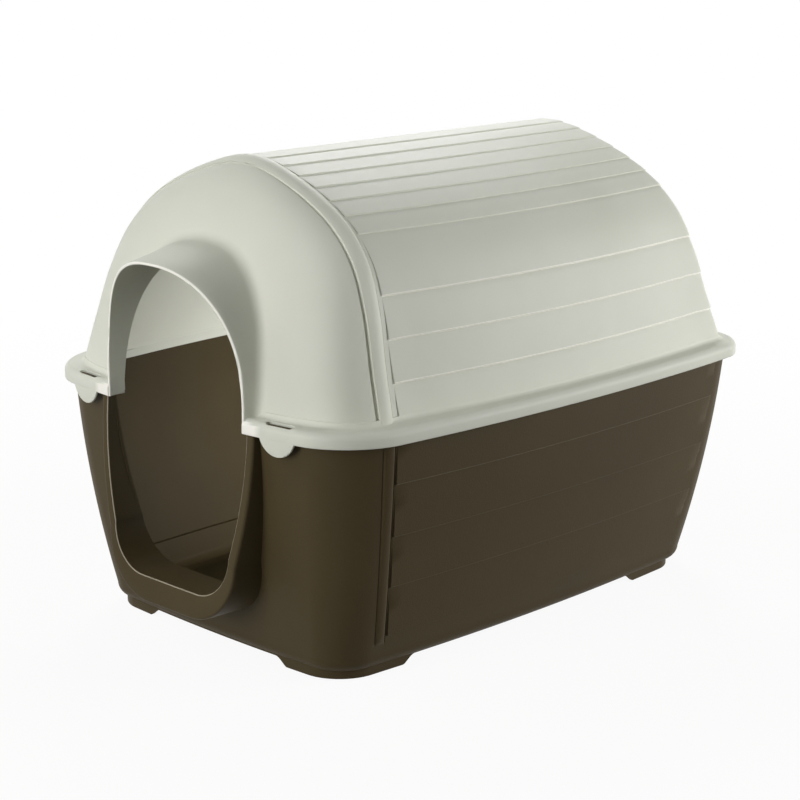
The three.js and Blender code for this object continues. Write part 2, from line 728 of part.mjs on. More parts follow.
// The rounded front as a stack of level slices, each a flattened half ellipse.
function dome(shrink, steps, spokes) {
  const lengths = ramp(0, ARCH_LENGTH / 2, steps).slice(1).reverse();
  const slices = lengths.map((s) => archPoint(s, -shrink));
  const ringAt = ([width, z]) => {
    const power = domePower(z);
    const depth = Math.max(domeDepth(z) - shrink, 0.5);
    const front = ramp(0, Math.PI, spokes).map((a) => {
      const [across, along] = superPoint(a, power);
      return new THREE.Vector3(width * across, archFront(z) - depth * Math.max(0, along), z);
    });
    const back = [-width, width].map((x) => new THREE.Vector3(x, archFront(z) + 4, z));
    return [...front, ...back];
  };
  const foot = ringAt(slices[0]).map((p) => new THREE.Vector3(p.x, p.y, LEDGE_TOP - LEDGE_WALL));
  const crest = archPoint(0, -shrink)[1];
  const tip = ringAt([4, crest - 0.3]).map((p) => new THREE.Vector3(p.x, p.y, crest - 0.02));
  return loft([foot, ...slices.map(ringAt), tip]);
}

// How far the dome's skin lies inside the arch at a distance ahead of it.
function domeFall(length, ahead) {
  let near = 0;
  let far = DOME_DEPTH / 2;
  for (let i = 0; i < 30; i += 1) {
    const fall = (near + far) / 2;
    const [x, z] = archPoint(length, -fall);
    if (archFront(z) - domeFace(x, z) < ahead) {
      near = fall;
    } else {
      far = fall;
    }
  }
  return near;
}

// The half-round rib in front of the boards, laid on the dome's skin.
function rib() {
  const ahead = (z, share) => {
    const drop = THREE.MathUtils.clamp((CREST - z) / (CREST - LEDGE_TOP), 0, 1);
    return mix(RIB_CREST_AHEAD, RIB_FOOT_AHEAD, Math.sqrt(drop)) + RIB_WIDTH * share;
  };
  return loft(ramp(0, Math.PI, 5).map((a) => {
    const share = (1 - Math.cos(a)) / 2;
    const section = plainSection(18).map(([length]) => {
      const fall = domeFall(length, Math.max(0, ahead(archPoint(length, 0)[1], share)));
      return [length, RIB_PROUD * Math.sin(a) - RIB_SUNK - fall];
    });
    return archRing(section, (x, z) => new THREE.Vector3(x, archFront(z) - ahead(z, share), z));
  }));
}

// ---------- hood ----------

const HOOD_STEPS = 28;

// The door's arch in front view, from the right foot over the top to the left foot.
function doorArch(grow) {
  const half = DOOR_HALF_WIDTH + grow;
  const height = DOOR_TOP + grow - DOOR_SPRING;
  return ramp(0, Math.PI, HOOD_STEPS).map((a) => {
    const [across, up] = superPoint(a, DOOR_ARCH_POWER);
    return [half * across, DOOR_SPRING + height * Math.max(0, up)];
  });
}

function hoodFront(x) {
  return HOOD_FRONT - HOOD_BOW * (1 - Math.min(1, Math.abs(x) / DOOR_HALF_WIDTH) ** 2);
}

// One line of the hood's skin: from the thin front edge back to the dome, with a hollow
// fillet where it meets the dome.
function hoodLine([x, z], [nx, nz]) {
  const front = hoodFront(x);
  const wall = (depth) => [x + nx * HOOD_DRAFT * depth, front + depth, z + nz * HOOD_DRAFT * depth];
  let near = 0;
  let far = ARCH_SETBACK + DOME_DEPTH;
  for (let i = 0; i < 40; i += 1) {
    const depth = (near + far) / 2;
    const [px, py, pz] = wall(depth);
    if (py < domeFace(px, pz)) {
      near = depth;
    } else {
      far = depth;
    }
  }
  const radius = Math.min(HOOD_FILLET, 0.8 * near);
  const start = wall(near - radius);
  const corner = wall(near);
  const endX = corner[0] + nx * radius;
  const endZ = corner[2] + nz * radius;
  const end = [endX, domeFace(endX, endZ), endZ];
  const bend = [start, corner, end].map((p) => new THREE.Vector3(...p));
  const curve = new THREE.QuadraticBezierCurve3(...bend);
  const rounded = ramp(0, 1, 4).map((t) => curve.getPoint(t));
  const tail = end[1] + 2.5;
  return [
    new THREE.Vector3(...wall(0)),
    new THREE.Vector3(...wall((near - radius) / 2)),
    ...rounded,
    new THREE.Vector3(endX, tail, endZ),
  ];
}

function hood() {
  const arch = doorArch(HOOD_WALL);
  const lines = arch.map((point, i) => {
    const before = arch[Math.max(0, i - 1)];
    const after = arch[Math.min(arch.length - 1, i + 1)];
    const edge = new THREE.Vector2(after[0] - before[0], after[1] - before[1]).normalize();
    return hoodLine(point, [edge.y, -edge.x]);
  });
  const foot = LEDGE_TOP - LEDGE_WALL;
  const footLine = (line) => line.map((p) => new THREE.Vector3(p.x, p.y, foot));
  const all = [footLine(lines[0]), ...lines, footLine(lines.at(-1))];
  const stations = lines[0].length;
  return loft(ramp(0, stations - 1, stations - 1).map((k) => all.map((line) => line[Math.round(k)])));
}

// The legs of the hood, which run down past the ledge to the skirt's lower edge.
function jambs() {
  const outer = DOOR_HALF_WIDTH + HOOD_WALL;
  const front = hoodFront(DOOR_HALF_WIDTH);
  const right = block(
    DOOR_HALF_WIDTH - 1, outer, front, front + JAMB_DEPTH, SKIRT_BOTTOM, DOOR_SPRING + HOOD_WALL);
  return right.add(right.mirror([1, 0, 0]));
}

function doorTunnel(depth) {
  const foot = SKIRT_BOTTOM - CUT_PAST;
  const outline = [[DOOR_HALF_WIDTH, foot], ...doorArch(0), [-DOOR_HALF_WIDTH, foot]];
  return prism(outline, 'y', HOOD_FRONT - HOOD_BOW - CUT_PAST, depth);
}

// ---------- rim of the roof ----------

// The foot of the dome and barrel in plan, on the ledge.
function footRing(grow, z) {
  const width = archWidth(LEDGE_TOP) + grow;
  const front = archFront(LEDGE_TOP);
  const power = domePower(LEDGE_TOP);
  const depth = domeDepth(LEDGE_TOP) + grow;
  const gable = gableRear(LEDGE_TOP) + grow;
  const radius = GABLE_EDGE_FOOT;
  const right = ramp(Math.PI / 2, 0, 14).map((a) => {
    const [across, along] = superPoint(a, power);
    return [width * Math.max(0, across), front - depth * along];
  });
  right.push(...ramp(front, gable - radius, 7).slice(1).map((y) => [width + barrelBow(width, y), y]));
  right.push(...ramp(0, Math.PI / 2, 4).slice(1).map((a) => [
    width - radius * (1 - Math.cos(a)) * width / RIM_HALF_WIDTH, gable - radius * (1 - Math.sin(a))]));
  right.push([width / 2, gable], [0, gable]);
  const points = right.map(([x, y]) => new THREE.Vector3(x, y, z));
  return [...points, ...points.slice(1, -1).reverse().map((p) => new THREE.Vector3(-p.x, p.y, z))];
}

// The ledge and skirt round the roof, the lip under it and the cove at the dome's foot.
function flange() {
  const rings = [[0.4, SKIRT_BOTTOM], [0, SKIRT_BOTTOM + 0.4], [0, LEDGE_TOP - RIM_EDGE_RADIUS]];
  for (const a of ramp(0, Math.PI / 2, 4).slice(1)) {
    rings.push([
      RIM_EDGE_RADIUS * (1 - Math.cos(a)), LEDGE_TOP - RIM_EDGE_RADIUS * (1 - Math.sin(a))]);
  }
  const outside = loft(rings.map(([by, z]) => {
    const plan = inset(rimPlan, by);
    return planRing(plan, z, plainStations(plan, 5));
  }));
  const hollow = column(inset(rimPlan, SKIRT_WALL), SKIRT_BOTTOM - 5, LEDGE_TOP - LEDGE_WALL, 5);
  const lip = loft([LEDGE_TOP - LEDGE_WALL - LIP_DEPTH, LEDGE_TOP].map((z) => footRing(0, z)));
  const coveSteps = [
    [COVE, -0.1 * COVE], [0.45 * COVE, 0.1 * COVE], [0.12 * COVE, 0.5 * COVE], [-0.5, COVE]];
  const cove = loft(coveSteps.map(([grow, rise]) => footRing(grow, LEDGE_TOP + rise)));
  return union([outside.subtract(hollow), lip, cove, ...fingerTabs()]);
}

function fingerTabs() {
  const half = Math.sqrt(TAB_RADIUS ** 2 - (TAB_RADIUS - TAB_DROP) ** 2);
  const sweep = Math.asin(half / TAB_RADIUS);
  const arc = ramp(-sweep, sweep, 12).map((a) => [
    TAB_RADIUS * Math.sin(a), SKIRT_BOTTOM - TAB_DROP + TAB_RADIUS * (1 - Math.cos(a))]);
  const root = SKIRT_BOTTOM + LEDGE_WALL;
  return atLatches(prism([...arc, [half, root], [-half, root]], 'y', 0.2, SKIRT_WALL));
}

function roofCavity() {
  const lowered = loft([SKIRT_BOTTOM - CUT_PAST, LEDGE_TOP + 1].map((z) => footRing(-ROOF_WALL, z)));
  return union([barrel(plainSection(12), ROOF_WALL, 4, 2), dome(ROOF_WALL, 10, 18), lowered]);
}

// ---------- vent ----------

// The vent lies in the gable's plane: local x to the right, local z up the gable, local y out.
const ventFrame = new THREE.Group();
ventFrame.position.set(0, gableRear(VENT_CENTRE_HEIGHT), VENT_CENTRE_HEIGHT);
ventFrame.rotation.x = Math.atan(GABLE_LEAN);
ventFrame.updateMatrixWorld();

function onGable(solid) {
  return solid.transform(ventFrame.matrixWorld.elements);
}

const SLEEVE_HALF_WIDTH = VENT_WIDTH / 2 - VENT_BORDER;
const SLEEVE_HALF_HEIGHT = VENT_HEIGHT / 2 - VENT_BORDER;
const BORE_HALF_WIDTH = SLEEVE_HALF_WIDTH - VENT_SLEEVE_WALL;
const BORE_HALF_HEIGHT = SLEEVE_HALF_HEIGHT - VENT_SLEEVE_WALL;
const SLOT_PLATE_FRONT = -ROOF_WALL - 1;
const SLOT_PLATE_REAR = SLOT_PLATE_FRONT - SHUTTER_WALL;
const SHUTTER_FRONT = SLOT_PLATE_REAR - FIT_GAP;
const SHUTTER_REAR = SHUTTER_FRONT - SHUTTER_WALL;
const SHUTTER_TRAVEL = SHUTTER_PITCH / 2;
const SLEEVE_END = SHUTTER_REAR - FIT_GAP - GUIDE_LIP;

function frameBlock(halfX, halfZ, y0, y1) {
  return block(-halfX, halfX, y0, y1, -halfZ, halfZ);
}

function slotRow(y0, y1) {
  const middle = (SHUTTER_SLOTS - 1) / 2;
  const reach = BORE_HALF_HEIGHT - SLOT_MARGIN;
  return union(ramp(-middle, middle, SHUTTER_SLOTS - 1).map((k) => block(
    k * SHUTTER_PITCH - SHUTTER_SLOT_WIDTH / 2, k * SHUTTER_PITCH + SHUTTER_SLOT_WIDTH / 2,
    y0, y1, -reach, reach)));
}

function louvres() {
  const top = VENT_HEIGHT / 2;
  const pitch = VENT_HEIGHT / LOUVRE_COUNT;
  const fall = pitch * LOUVRE_FALL;
  const cheekInner = SLEEVE_HALF_WIDTH + 1;
  const cheekOutline = [
    [VENT_FRAME, -top], [VENT_PROUD, -top + 1], [VENT_PROUD, top - fall - 1], [VENT_FRAME, top - 1]];
  const cheek = prism(cheekOutline, 'x', cheekInner, cheekInner + VENT_SLEEVE_WALL);
  const blades = ramp(0, LOUVRE_COUNT - 1, LOUVRE_COUNT - 1).map((k) => {
    const high = top - k * pitch;
    return prism([
      [VENT_FRAME - 0.5, high - LOUVRE_WALL], [VENT_PROUD, high - LOUVRE_WALL - fall],
      [VENT_PROUD, high - fall], [VENT_FRAME - 0.5, high],
    ], 'x', -cheekInner - 1, cheekInner + 1);
  });
  return union([cheek, cheek.mirror([1, 0, 0]), ...blades]);
}

function makeVentGrille() {
  const plate = frameBlock(VENT_WIDTH / 2, VENT_HEIGHT / 2, FIT_GAP, VENT_FRAME);
  const sleeve = frameBlock(SLEEVE_HALF_WIDTH, SLEEVE_HALF_HEIGHT, SLEEVE_END, FIT_GAP + 1);
  const bore = frameBlock(BORE_HALF_WIDTH, BORE_HALF_HEIGHT, SLEEVE_END - 1, VENT_FRAME + 1);
  const slotPlate = frameBlock(
    BORE_HALF_WIDTH + 1, BORE_HALF_HEIGHT + 1, SLOT_PLATE_REAR, SLOT_PLATE_FRONT);
  const lip = block(
    -BORE_HALF_WIDTH, BORE_HALF_WIDTH, SLEEVE_END, SLEEVE_END + GUIDE_LIP,
    BORE_HALF_HEIGHT - GUIDE_LIP, BORE_HALF_HEIGHT + 1);
  return union([plate, sleeve]).subtract(bore)
    .add(slotPlate.subtract(slotRow(SLOT_PLATE_REAR - 1, SLOT_PLATE_FRONT + 1)))
    .add(lip).add(lip.mirror([0, 0, 1]))
    .add(louvres());
}

function makeShutter() {
  const half = BORE_HALF_WIDTH - FIT_GAP - SHUTTER_TRAVEL / 2;
  const centre = -SHUTTER_TRAVEL / 2;
  const height = BORE_HALF_HEIGHT - FIT_GAP;
  const plate = block(centre - half, centre + half, SHUTTER_REAR, SHUTTER_FRONT, -height, height);
  const grip = block(
    -SHUTTER_GRIP / 2, SHUTTER_GRIP / 2, SHUTTER_REAR - SHUTTER_GRIP / 3, SHUTTER_REAR + 1, -1.2, 1.2);
  return plate.subtract(slotRow(SHUTTER_REAR - 1, SHUTTER_FRONT + 1)).add(grip);
}

function makeRoof() {
  const slots = atLatches(block(
    -SLOT_LENGTH / 2, SLOT_LENGTH / 2, SKIRT_WALL, SKIRT_WALL + SLOT_WIDTH,
    LEDGE_TOP - LEDGE_WALL - 1, LEDGE_TOP + 1));
  const opening = onGable(frameBlock(
    SLEEVE_HALF_WIDTH + FIT_GAP, SLEEVE_HALF_HEIGHT + FIT_GAP, -ROOF_WALL - 8, 8));
  const outside = union([barrel(boardSection(), 0, 5, 3), dome(0, 16, 26), rib(), hood(), flange()]);
  return outside
    .subtract(roofCavity())
    .subtract(doorTunnel(archFront(DOOR_TOP)))
    .add(jambs())
    .subtract(union(slots))
    .subtract(opening);
}

// ---------- small pieces ----------

function makePad() {
  const profile = [
    [0, 0], [PAD_RADIUS - 1, 0], [PAD_RADIUS, 1], [PAD_RADIUS, PAD_HEIGHT], [0, PAD_HEIGHT],
  ].map(([r, z]) => new THREE.Vector2(r, z));
  return new THREE.LatheGeometry(profile, 20).rotateX(Math.PI / 2);
}

function makePlug() {
  const shank = DRAIN_RADIUS - FIT_GAP;
  const foot = -FLOOR_WALL - FIT_GAP - 2;
  const profile = [
    [0, foot], [shank - 1, foot], [shank, foot + 1], [shank, 0], [PLUG_HEAD_RADIUS, 0],
    [PLUG_HEAD_RADIUS, PLUG_HEAD_HEIGHT - 1], [PLUG_HEAD_RADIUS - 1, PLUG_HEAD_HEIGHT],
    [0, PLUG_HEAD_HEIGHT],
  ].map(([r, z]) => new THREE.Vector2(r, z));
  const turned = solidOf(new THREE.LatheGeometry(profile, 20).rotateX(Math.PI / 2));
  const gripHalf = 0.6 * PLUG_HEAD_RADIUS;
  const grip = block(
    -gripHalf, gripHalf, -PLUG_HEAD_HEIGHT / 2, PLUG_HEAD_HEIGHT / 2, PLUG_HEAD_HEIGHT - 1,
    2.5 * PLUG_HEAD_HEIGHT);
  return turned.add(grip);
}

// ---------- assembly ----------

const roofPlastic = new THREE.MeshStandardMaterial({ color: ROOF_COLOUR, roughness: 0.5, metalness: 0 });
const tubPlastic = new THREE.MeshStandardMaterial({ color: TUB_COLOUR, roughness: 0.6, metalness: 0 });
const rubber = new THREE.MeshStandardMaterial({ color: RUBBER_COLOUR, roughness: 0.9, metalness: 0 });

function piece(name, geometry, material) {
  const mesh = new THREE.Mesh(geometry, material);
  mesh.name = name;
  return mesh;
}

const kennel = new THREE.Group();
kennel.add(piece('base_tub', geometryOf(makeTub()), tubPlastic));
kennel.add(piece('roof_shell', geometryOf(makeRoof()), roofPlastic));

ventFrame.add(piece('rear_vent_grille', geometryOf(makeVentGrille()), tubPlastic));
ventFrame.add(piece('vent_shutter', geometryOf(makeShutter()), tubPlastic));
kennel.add(ventFrame);

const plug = piece('drain_plug', geometryOf(makePlug()), rubber);
plug.position.set(0, drainY(), FLOOR_TOP + FIT_GAP);
kennel.add(plug);

for (const [corner, [x, y]] of Object.entries(padPlaces())) {
  const pad = piece(`foot_pad_${corner}`, makePad(), rubber);
  pad.position.set(x, y, 0);
  kennel.add(pad);
}

export default kennel;
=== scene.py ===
"""Looks of the domed two-part pet kennel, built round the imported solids. Lengths below are
millimetres in the frame of the solids and become metres when a mesh is made."""

import math

import bmesh
import bpy
import numpy as np
from mathutils import Matrix, Vector
from mathutils.kdtree import KDTree


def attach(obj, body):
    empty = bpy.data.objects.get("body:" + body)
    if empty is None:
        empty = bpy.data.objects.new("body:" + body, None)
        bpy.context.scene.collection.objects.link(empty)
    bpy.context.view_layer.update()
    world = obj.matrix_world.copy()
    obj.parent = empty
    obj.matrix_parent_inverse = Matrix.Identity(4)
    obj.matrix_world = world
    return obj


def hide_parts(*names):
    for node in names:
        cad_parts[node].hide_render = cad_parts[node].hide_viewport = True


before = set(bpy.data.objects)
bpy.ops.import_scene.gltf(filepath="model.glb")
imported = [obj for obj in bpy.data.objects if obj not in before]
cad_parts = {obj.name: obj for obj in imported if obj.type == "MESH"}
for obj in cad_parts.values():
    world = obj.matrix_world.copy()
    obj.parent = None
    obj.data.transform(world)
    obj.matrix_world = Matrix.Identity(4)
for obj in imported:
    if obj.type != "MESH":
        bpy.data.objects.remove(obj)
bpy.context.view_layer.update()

MM = 0.001

# ---------- sizes shared with the solids ----------

FIT_GAP = 0.3
RIM_FIT = 0.8
RIM = {"half": 223.0, "front": -279.0, "rear": 313.5, "front_radius": 57.5, "rear_radius": 45.0,
       "side_bow": 17.6, "front_bow": 19.6, "rear_bow": 4.3}
SKIRT_BOTTOM = 239.0
LEDGE_TOP = 253.6
SKIRT_WALL = 3.0
LEDGE_WALL = 3.0
RIM_EDGE_RADIUS = 7.0
LIP_DEPTH = 8.0
COVE = 5.0
COVE_SUNK = 0.1
# the skirt's rounded foot: how far inside the rim's plan, and how far above the foot
RIM_FOOT_ROUNDING = [(1.2, 0), (0.5, 0.15), (0.12, 0.6), (0, 1.3)]

ARCH_POINTS = [(0, 472.5), (62, 458.6), (124, 429.5), (161, 395), (181, 352), (194, 302), (208, 253.6)]
CREST = 472.5
ARCH_BOW = 14.0
ARCH_BOW_REACH = 1.4
ARCH_FRONT = -186.0
ARCH_FRONT_LEAN = 0.075
GABLE_REAR = 245.5
GABLE_LEAN = 0.215
GABLE_EDGE_TOP = 7.0
GABLE_EDGE_FOOT = 24.0
GABLE_EDGE_TURN = 1.6  # how soon below the crest the edge rounds sideways alone
ROOF_WALL = 3.0
RIB_WIDTH = 17.5
RIB_PROUD = 3.4
RIB_SUNK = 0.6
RIB_CREST_AHEAD = -1.0
RIB_FOOT_AHEAD = 6.0
CREASE_RADIUS = 2.2
CREASE_CREST_RADIUS = 0.9
CREASE_LIFT = 0.2
GROOVE_RADIUS = 0.5
GROOVE_LIFT = 0.1
RIDGE_HALF_BOARD = 15.5
SLAT_PITCH = 23.6
SLAT_COUNT = 6
SIDE_BOARDS = [62.5, 40.0, 39.5]
SLAT_PROUD = 1.1
SIDE_BOARD_PROUD = 1.4
BOARD_FACET = 5.0

DOME_DEPTH = 77.0
DOME_FOOT_POWER = 3.45
DOME_TOP_POWER = 2.2
DOME_OVERLAP = 4.0
# the dome's flat cap, just under the crest
CAP_HALF = 4.0
CAP_DROP = 0.3
CAP_GAP = 0.02
DOOR_HALF = 98.0
DOOR_SPRING = 255.0
DOOR_TOP = 383.5
DOOR_POWER = 2.38
HOOD_FRONT = -293.5
HOOD_BOW = 24.3
HOOD_WALL = 3.0
HOOD_DRAFT = 0.2
HOOD_FILLET = 8.0
HOOD_FILLET_SHARE = 0.8
HOOD_REACH = 160.0
HOOD_SUNK = 2.5
JAMB_DEPTH = 19.0
JAMB_OVERLAP = 4.0
JAMB_ROUNDING = 1.2

LATCH_X = 141.5
SLOT_LENGTH = 33.0
SLOT_WIDTH = 7.5
TAB_RADIUS = 22.0
TAB_DROP = 14.7
TAB_INSET = 0.2
TAB_ROUNDING = 0.9
TONGUE_LENGTH = 28.0
TONGUE_WALL = 3.0
TONGUE_ROOT = 6.0
TONGUE_SUNK = 1.2
TONGUE_ROUNDING = 0.6

TUB_WALL = 3.0
TUB_INSET = 8.7
TUB_SIDE_LEAN = (21.0, 20.8)
TUB_FRONT_LEAN = (9.0, 16.1)
TUB_REAR_LEAN = (10.4, 12.5)
TUB_FRONT_RADIUS = (53.7, 36.0)
TUB_REAR_RADIUS = 45.0
TUB_FOOT_SIDE_BOW = 10.7
TUB_FOOT_FRONT_BOW = 5.3
TUB_UNDERSIDE = 8.5
TUB_FLANGE = 8.5
TUB_EDGE_RADIUS = 13.0
FLOOR_WALL = 3.0
FLOOR_PANEL_RISE = 3.0
FLOOR_GUTTER = 14.0
# the floor panel's rounded edge: how far inside its plan, and how far below its top
PANEL_ROUNDING = [(0, 0.9), (0.3, 0.25), (0.9, 0)]
INNER_STEP_HEIGHT = 42.0
INNER_STEP = 3.0
INNER_STEP_RAMP = 0.6
TUB_BOARD_PITCH = 52.0
TUB_BOARD_COUNT = 4
TUB_BOARD_FOOT = 42.0
TUB_BOARD_PROUD = 1.7
TUB_BOARD_STEP = 0.7
# levels of the mesh: heights from a board's foot, and heights below the lowest board
TUB_BOARD_LEVELS = [-0.05, 0.12, 0.35, 0.7, 1.3]
TUB_LOW_LEVELS = [26, 30, 33.9, 35, 36.5, 38.5, 41]
TUB_BEAD_OFFSET = 41.5
TUB_BEAD_WIDTH = 10.5
TUB_BEAD_PROUD = 1.8
TUB_BEAD_GAP = 2.2
TUB_BEAD_GROOVE = 1.4
TUB_GROOVE_DEPTH = 0.8
TUB_BEAD_BELOW = 8.0
TUB_BEAD_FADE = 6.0
TUB_BOARD_REAR = 48.0

COLLAR_FRONT = -292.0
COLLAR_TILT = 0.08
SILL_HEIGHT = 73.4
COLLAR_TOP_HALF = 103.0
COLLAR_SILL_HALF = 84.7
COLLAR_RADIUS = 44.0
COLLAR_BOW = 5.1
COLLAR_SIDE_FACE = 9.0
COLLAR_SILL_FACE = 26.0
COLLAR_OUTER_RADIUS = 62.0
COLLAR_DEPTH = 70.0
COLLAR_INNER_EDGE = 1.0
COLLAR_OUTER_EDGE = 3.0
COLLAR_FLARE = (0.7, 1.5)

FOOT_CLEAR = 0.8
FOOT_WALL = 3.0
FOOT_SIDE_INSET = 7.4
FOOT_FRONT_INSET = 5.4
FOOT_REAR_INSET = 16.5
FOOT_FRONT_RADIUS = 39.0
FOOT_REAR_RADIUS = 36.0
FOOT_ROOT = 2.8
# the feet's rounded lower edge: how far inside their plan, and how far above their underside
FOOT_ROUNDING = [(0.9, 0), (0.3, 0.25), (0, 0.9)]
FRONT_NOTCH_HALF = 88.0
SIDE_NOTCH_FRONT = -149.0
SIDE_NOTCH_REAR = 167.0
NOTCH_CURVE = 19.0
PAD_RADIUS = 12.0
PAD_HEIGHT = 4.0
PAD_BOSS_RADIUS = 15.5
PAD_INSET = 30.0
DRAIN_FROM_REAR = 52.0
DRAIN_RADIUS = 8.0
DRAIN_BAY_RADIUS = 22.0

VENT_CENTRE_HEIGHT = 422.0
VENT_HALF_WIDTH = 43.3
VENT_HALF_HEIGHT = 14.3
VENT_CUT = 8.0

# cutting solids: how far they run on past what they cut, where the door's tunnel starts, and
# how far the tub's doorway and the hood's room reach ahead of and behind the rim's front
CUT_PAST = 20.0
CUT_ABOVE = 5.0
TUNNEL_FRONT = -400.0
DOORWAY_AHEAD = 100.0
DOORWAY_DEPTH = 120.0
HOOD_ROOM_DEPTH = 60.0

WALL_TOP = LEDGE_TOP - LEDGE_WALL - FIT_GAP
FLOOR_TOP = TUB_UNDERSIDE + FLOOR_WALL
PANEL_TOP = FLOOR_TOP + FLOOR_PANEL_RISE

# ---------- mesh tools ----------

ROUND_SIDES = 64


def ramp(start, end, steps):
    return np.linspace(start, end, steps + 1)


def mix(a, b, t):
    return a + (b - a) * t


def quarter(radius, steps):
    """A rounded edge: how far each point lies inside its two faces."""
    return [(radius * (1 - math.cos(a)), radius * (1 - math.sin(a))) for a in ramp(0, math.pi / 2, steps)]


def tidy_mesh(mesh):
    work = bmesh.new()
    work.from_mesh(mesh)
    bmesh.ops.remove_doubles(work, verts=work.verts, dist=2e-6)
    bmesh.ops.recalc_face_normals(work, faces=work.faces)
    work.to_mesh(mesh)
    work.free()


def solid(points, faces, name="solid"):
    mesh = bpy.data.meshes.new(name)
    mesh.from_pydata((np.asarray(points, float) * MM).tolist(), [], faces)
    tidy_mesh(mesh)
    obj = bpy.data.objects.new(name, mesh)
    bpy.context.scene.collection.objects.link(obj)
    return obj


def loft(rings):
    """A closed skin over a stack of rings, with a fan over each end."""
    rings = np.asarray(rings, float)
    levels, count = rings.shape[:2]
    points = np.vstack([rings.reshape(-1, 3), rings[0].mean(0), rings[-1].mean(0)])
    last = (levels - 1) * count
    faces = []
    for i in range(levels - 1):
        for j in range(count):
            k = (j + 1) % count
            faces.append((i * count + j, i * count + k, (i + 1) * count + k, (i + 1) * count + j))
    for j in range(count):
        k = (j + 1) % count
        faces.append((k, j, levels * count))
        faces.append((last + j, last + k, levels * count + 1))
    return solid(points, faces)


def prism(outline, axis, start, end):
    """An outline pushed along x, y or z. Its points are (y, z), (x, z) or (x, y)."""
    outline = np.asarray(outline, float)
    order = {"x": (2, 0, 1), "y": (0, 2, 1), "z": (0, 1, 2)}[axis]
    rings = []
    for depth in (start, end):
        columns = (outline[:, 0], outline[:, 1], np.full(len(outline), depth))
        rings.append(np.stack([columns[i] for i in order], 1))
    count = len(outline)
    faces = [tuple(range(count)), tuple(range(2 * count - 1, count - 1, -1))]
    faces += [(j, (j + 1) % count, count + (j + 1) % count, count + j) for j in range(count)]
    return solid(np.vstack(rings), faces)


def block(x0, x1, y0, y1, z0, z1):
    return prism([(x0, y0), (x1, y0), (x1, y1), (x0, y1)], "z", z0, z1)


def circle(radius, sides, x=0.0, y=0.0):
    return [(x + radius * math.cos(a), y + radius * math.sin(a))
            for a in np.linspace(0, 2 * math.pi, sides, endpoint=False)]


def disc(radius, x, y, z0, z1):
    return prism(circle(radius, ROUND_SIDES, x, y), "z", z0, z1)


def bake(obj):
    """Puts what the modifiers make into the object's own mesh."""
    bpy.context.view_layer.update()
    made = bpy.data.meshes.new_from_object(obj.evaluated_get(bpy.context.evaluated_depsgraph_get()))
    old = obj.data
    obj.modifiers.clear()
    obj.data = made
    bpy.data.meshes.remove(old)
    return obj


def combine(target, tool, operation):
    boolean = target.modifiers.new("boolean", "BOOLEAN")
    boolean.operation = operation
    boolean.solver = "MANIFOLD"
    boolean.object = tool
    bake(target)
    old = tool.data
    bpy.data.objects.remove(tool)
    bpy.data.meshes.remove(old)
    return target


def add(target, *tools):
    for tool in tools:
        combine(target, tool, "UNION")
    return target


def cut(target, *tools):
    for tool in tools:
        combine(target, tool, "DIFFERENCE")
    return target


def placed(obj, matrix):
    obj.data.transform(matrix)
    if matrix.determinant() < 0:
        obj.data.flip_normals()
    return obj


def twin(obj, matrix):
    copy = obj.copy()
    copy.data = obj.data.copy()
    bpy.context.scene.collection.objects.link(copy)
    return placed(copy, matrix)


def round_edges(obj, width, segments=3, angle=35):
    rounding = obj.modifiers.new("rounding", "BEVEL")
    rounding.width = width * MM
    rounding.segments = segments
    rounding.limit_method = "ANGLE"
    rounding.angle_limit = math.radians(angle)
    return obj


def halve(limit, rounds, inside):
    """The largest value up to the limit that is still inside, found by halving."""
    near, far = 0.0, limit
    for _ in range(rounds):
        middle = (near + far) / 2
        if inside(middle):
            near = middle
        else:
            far = middle
    return near


def shade(obj, angle):
    mesh = obj.data
    mesh.polygons.foreach_set("use_smooth", [True] * len(mesh.polygons))
    mesh.set_sharp_from_angle(angle=math.radians(angle))


# ---------- plan outlines ----------

CORNER_STEPS = 20
FRONT_STEPS = 16
REAR_STEPS = 8


def inset(plan, by):
    return dict(plan, half=plan["half"] - by, front=plan["front"] + by, rear=plan["rear"] - by,
                front_radius=max(plan["front_radius"] - by, 6), rear_radius=max(plan["rear_radius"] - by, 6))


def bowed(plan, x, y, z):
    along = (2 * y - plan["front"] - plan["rear"]) / (plan["rear"] - plan["front"])
    across = x / plan["half"]
    swell = 1 - across ** 2
    ahead = plan["front_bow"] * swell * np.maximum(0, -along)
    behind = plan["rear_bow"] * swell * np.maximum(0, along)
    out = plan["side_bow"] * (1 - along ** 2) * across
    return np.stack([x + out, y - ahead + behind, np.full(len(x), float(z))], 1)


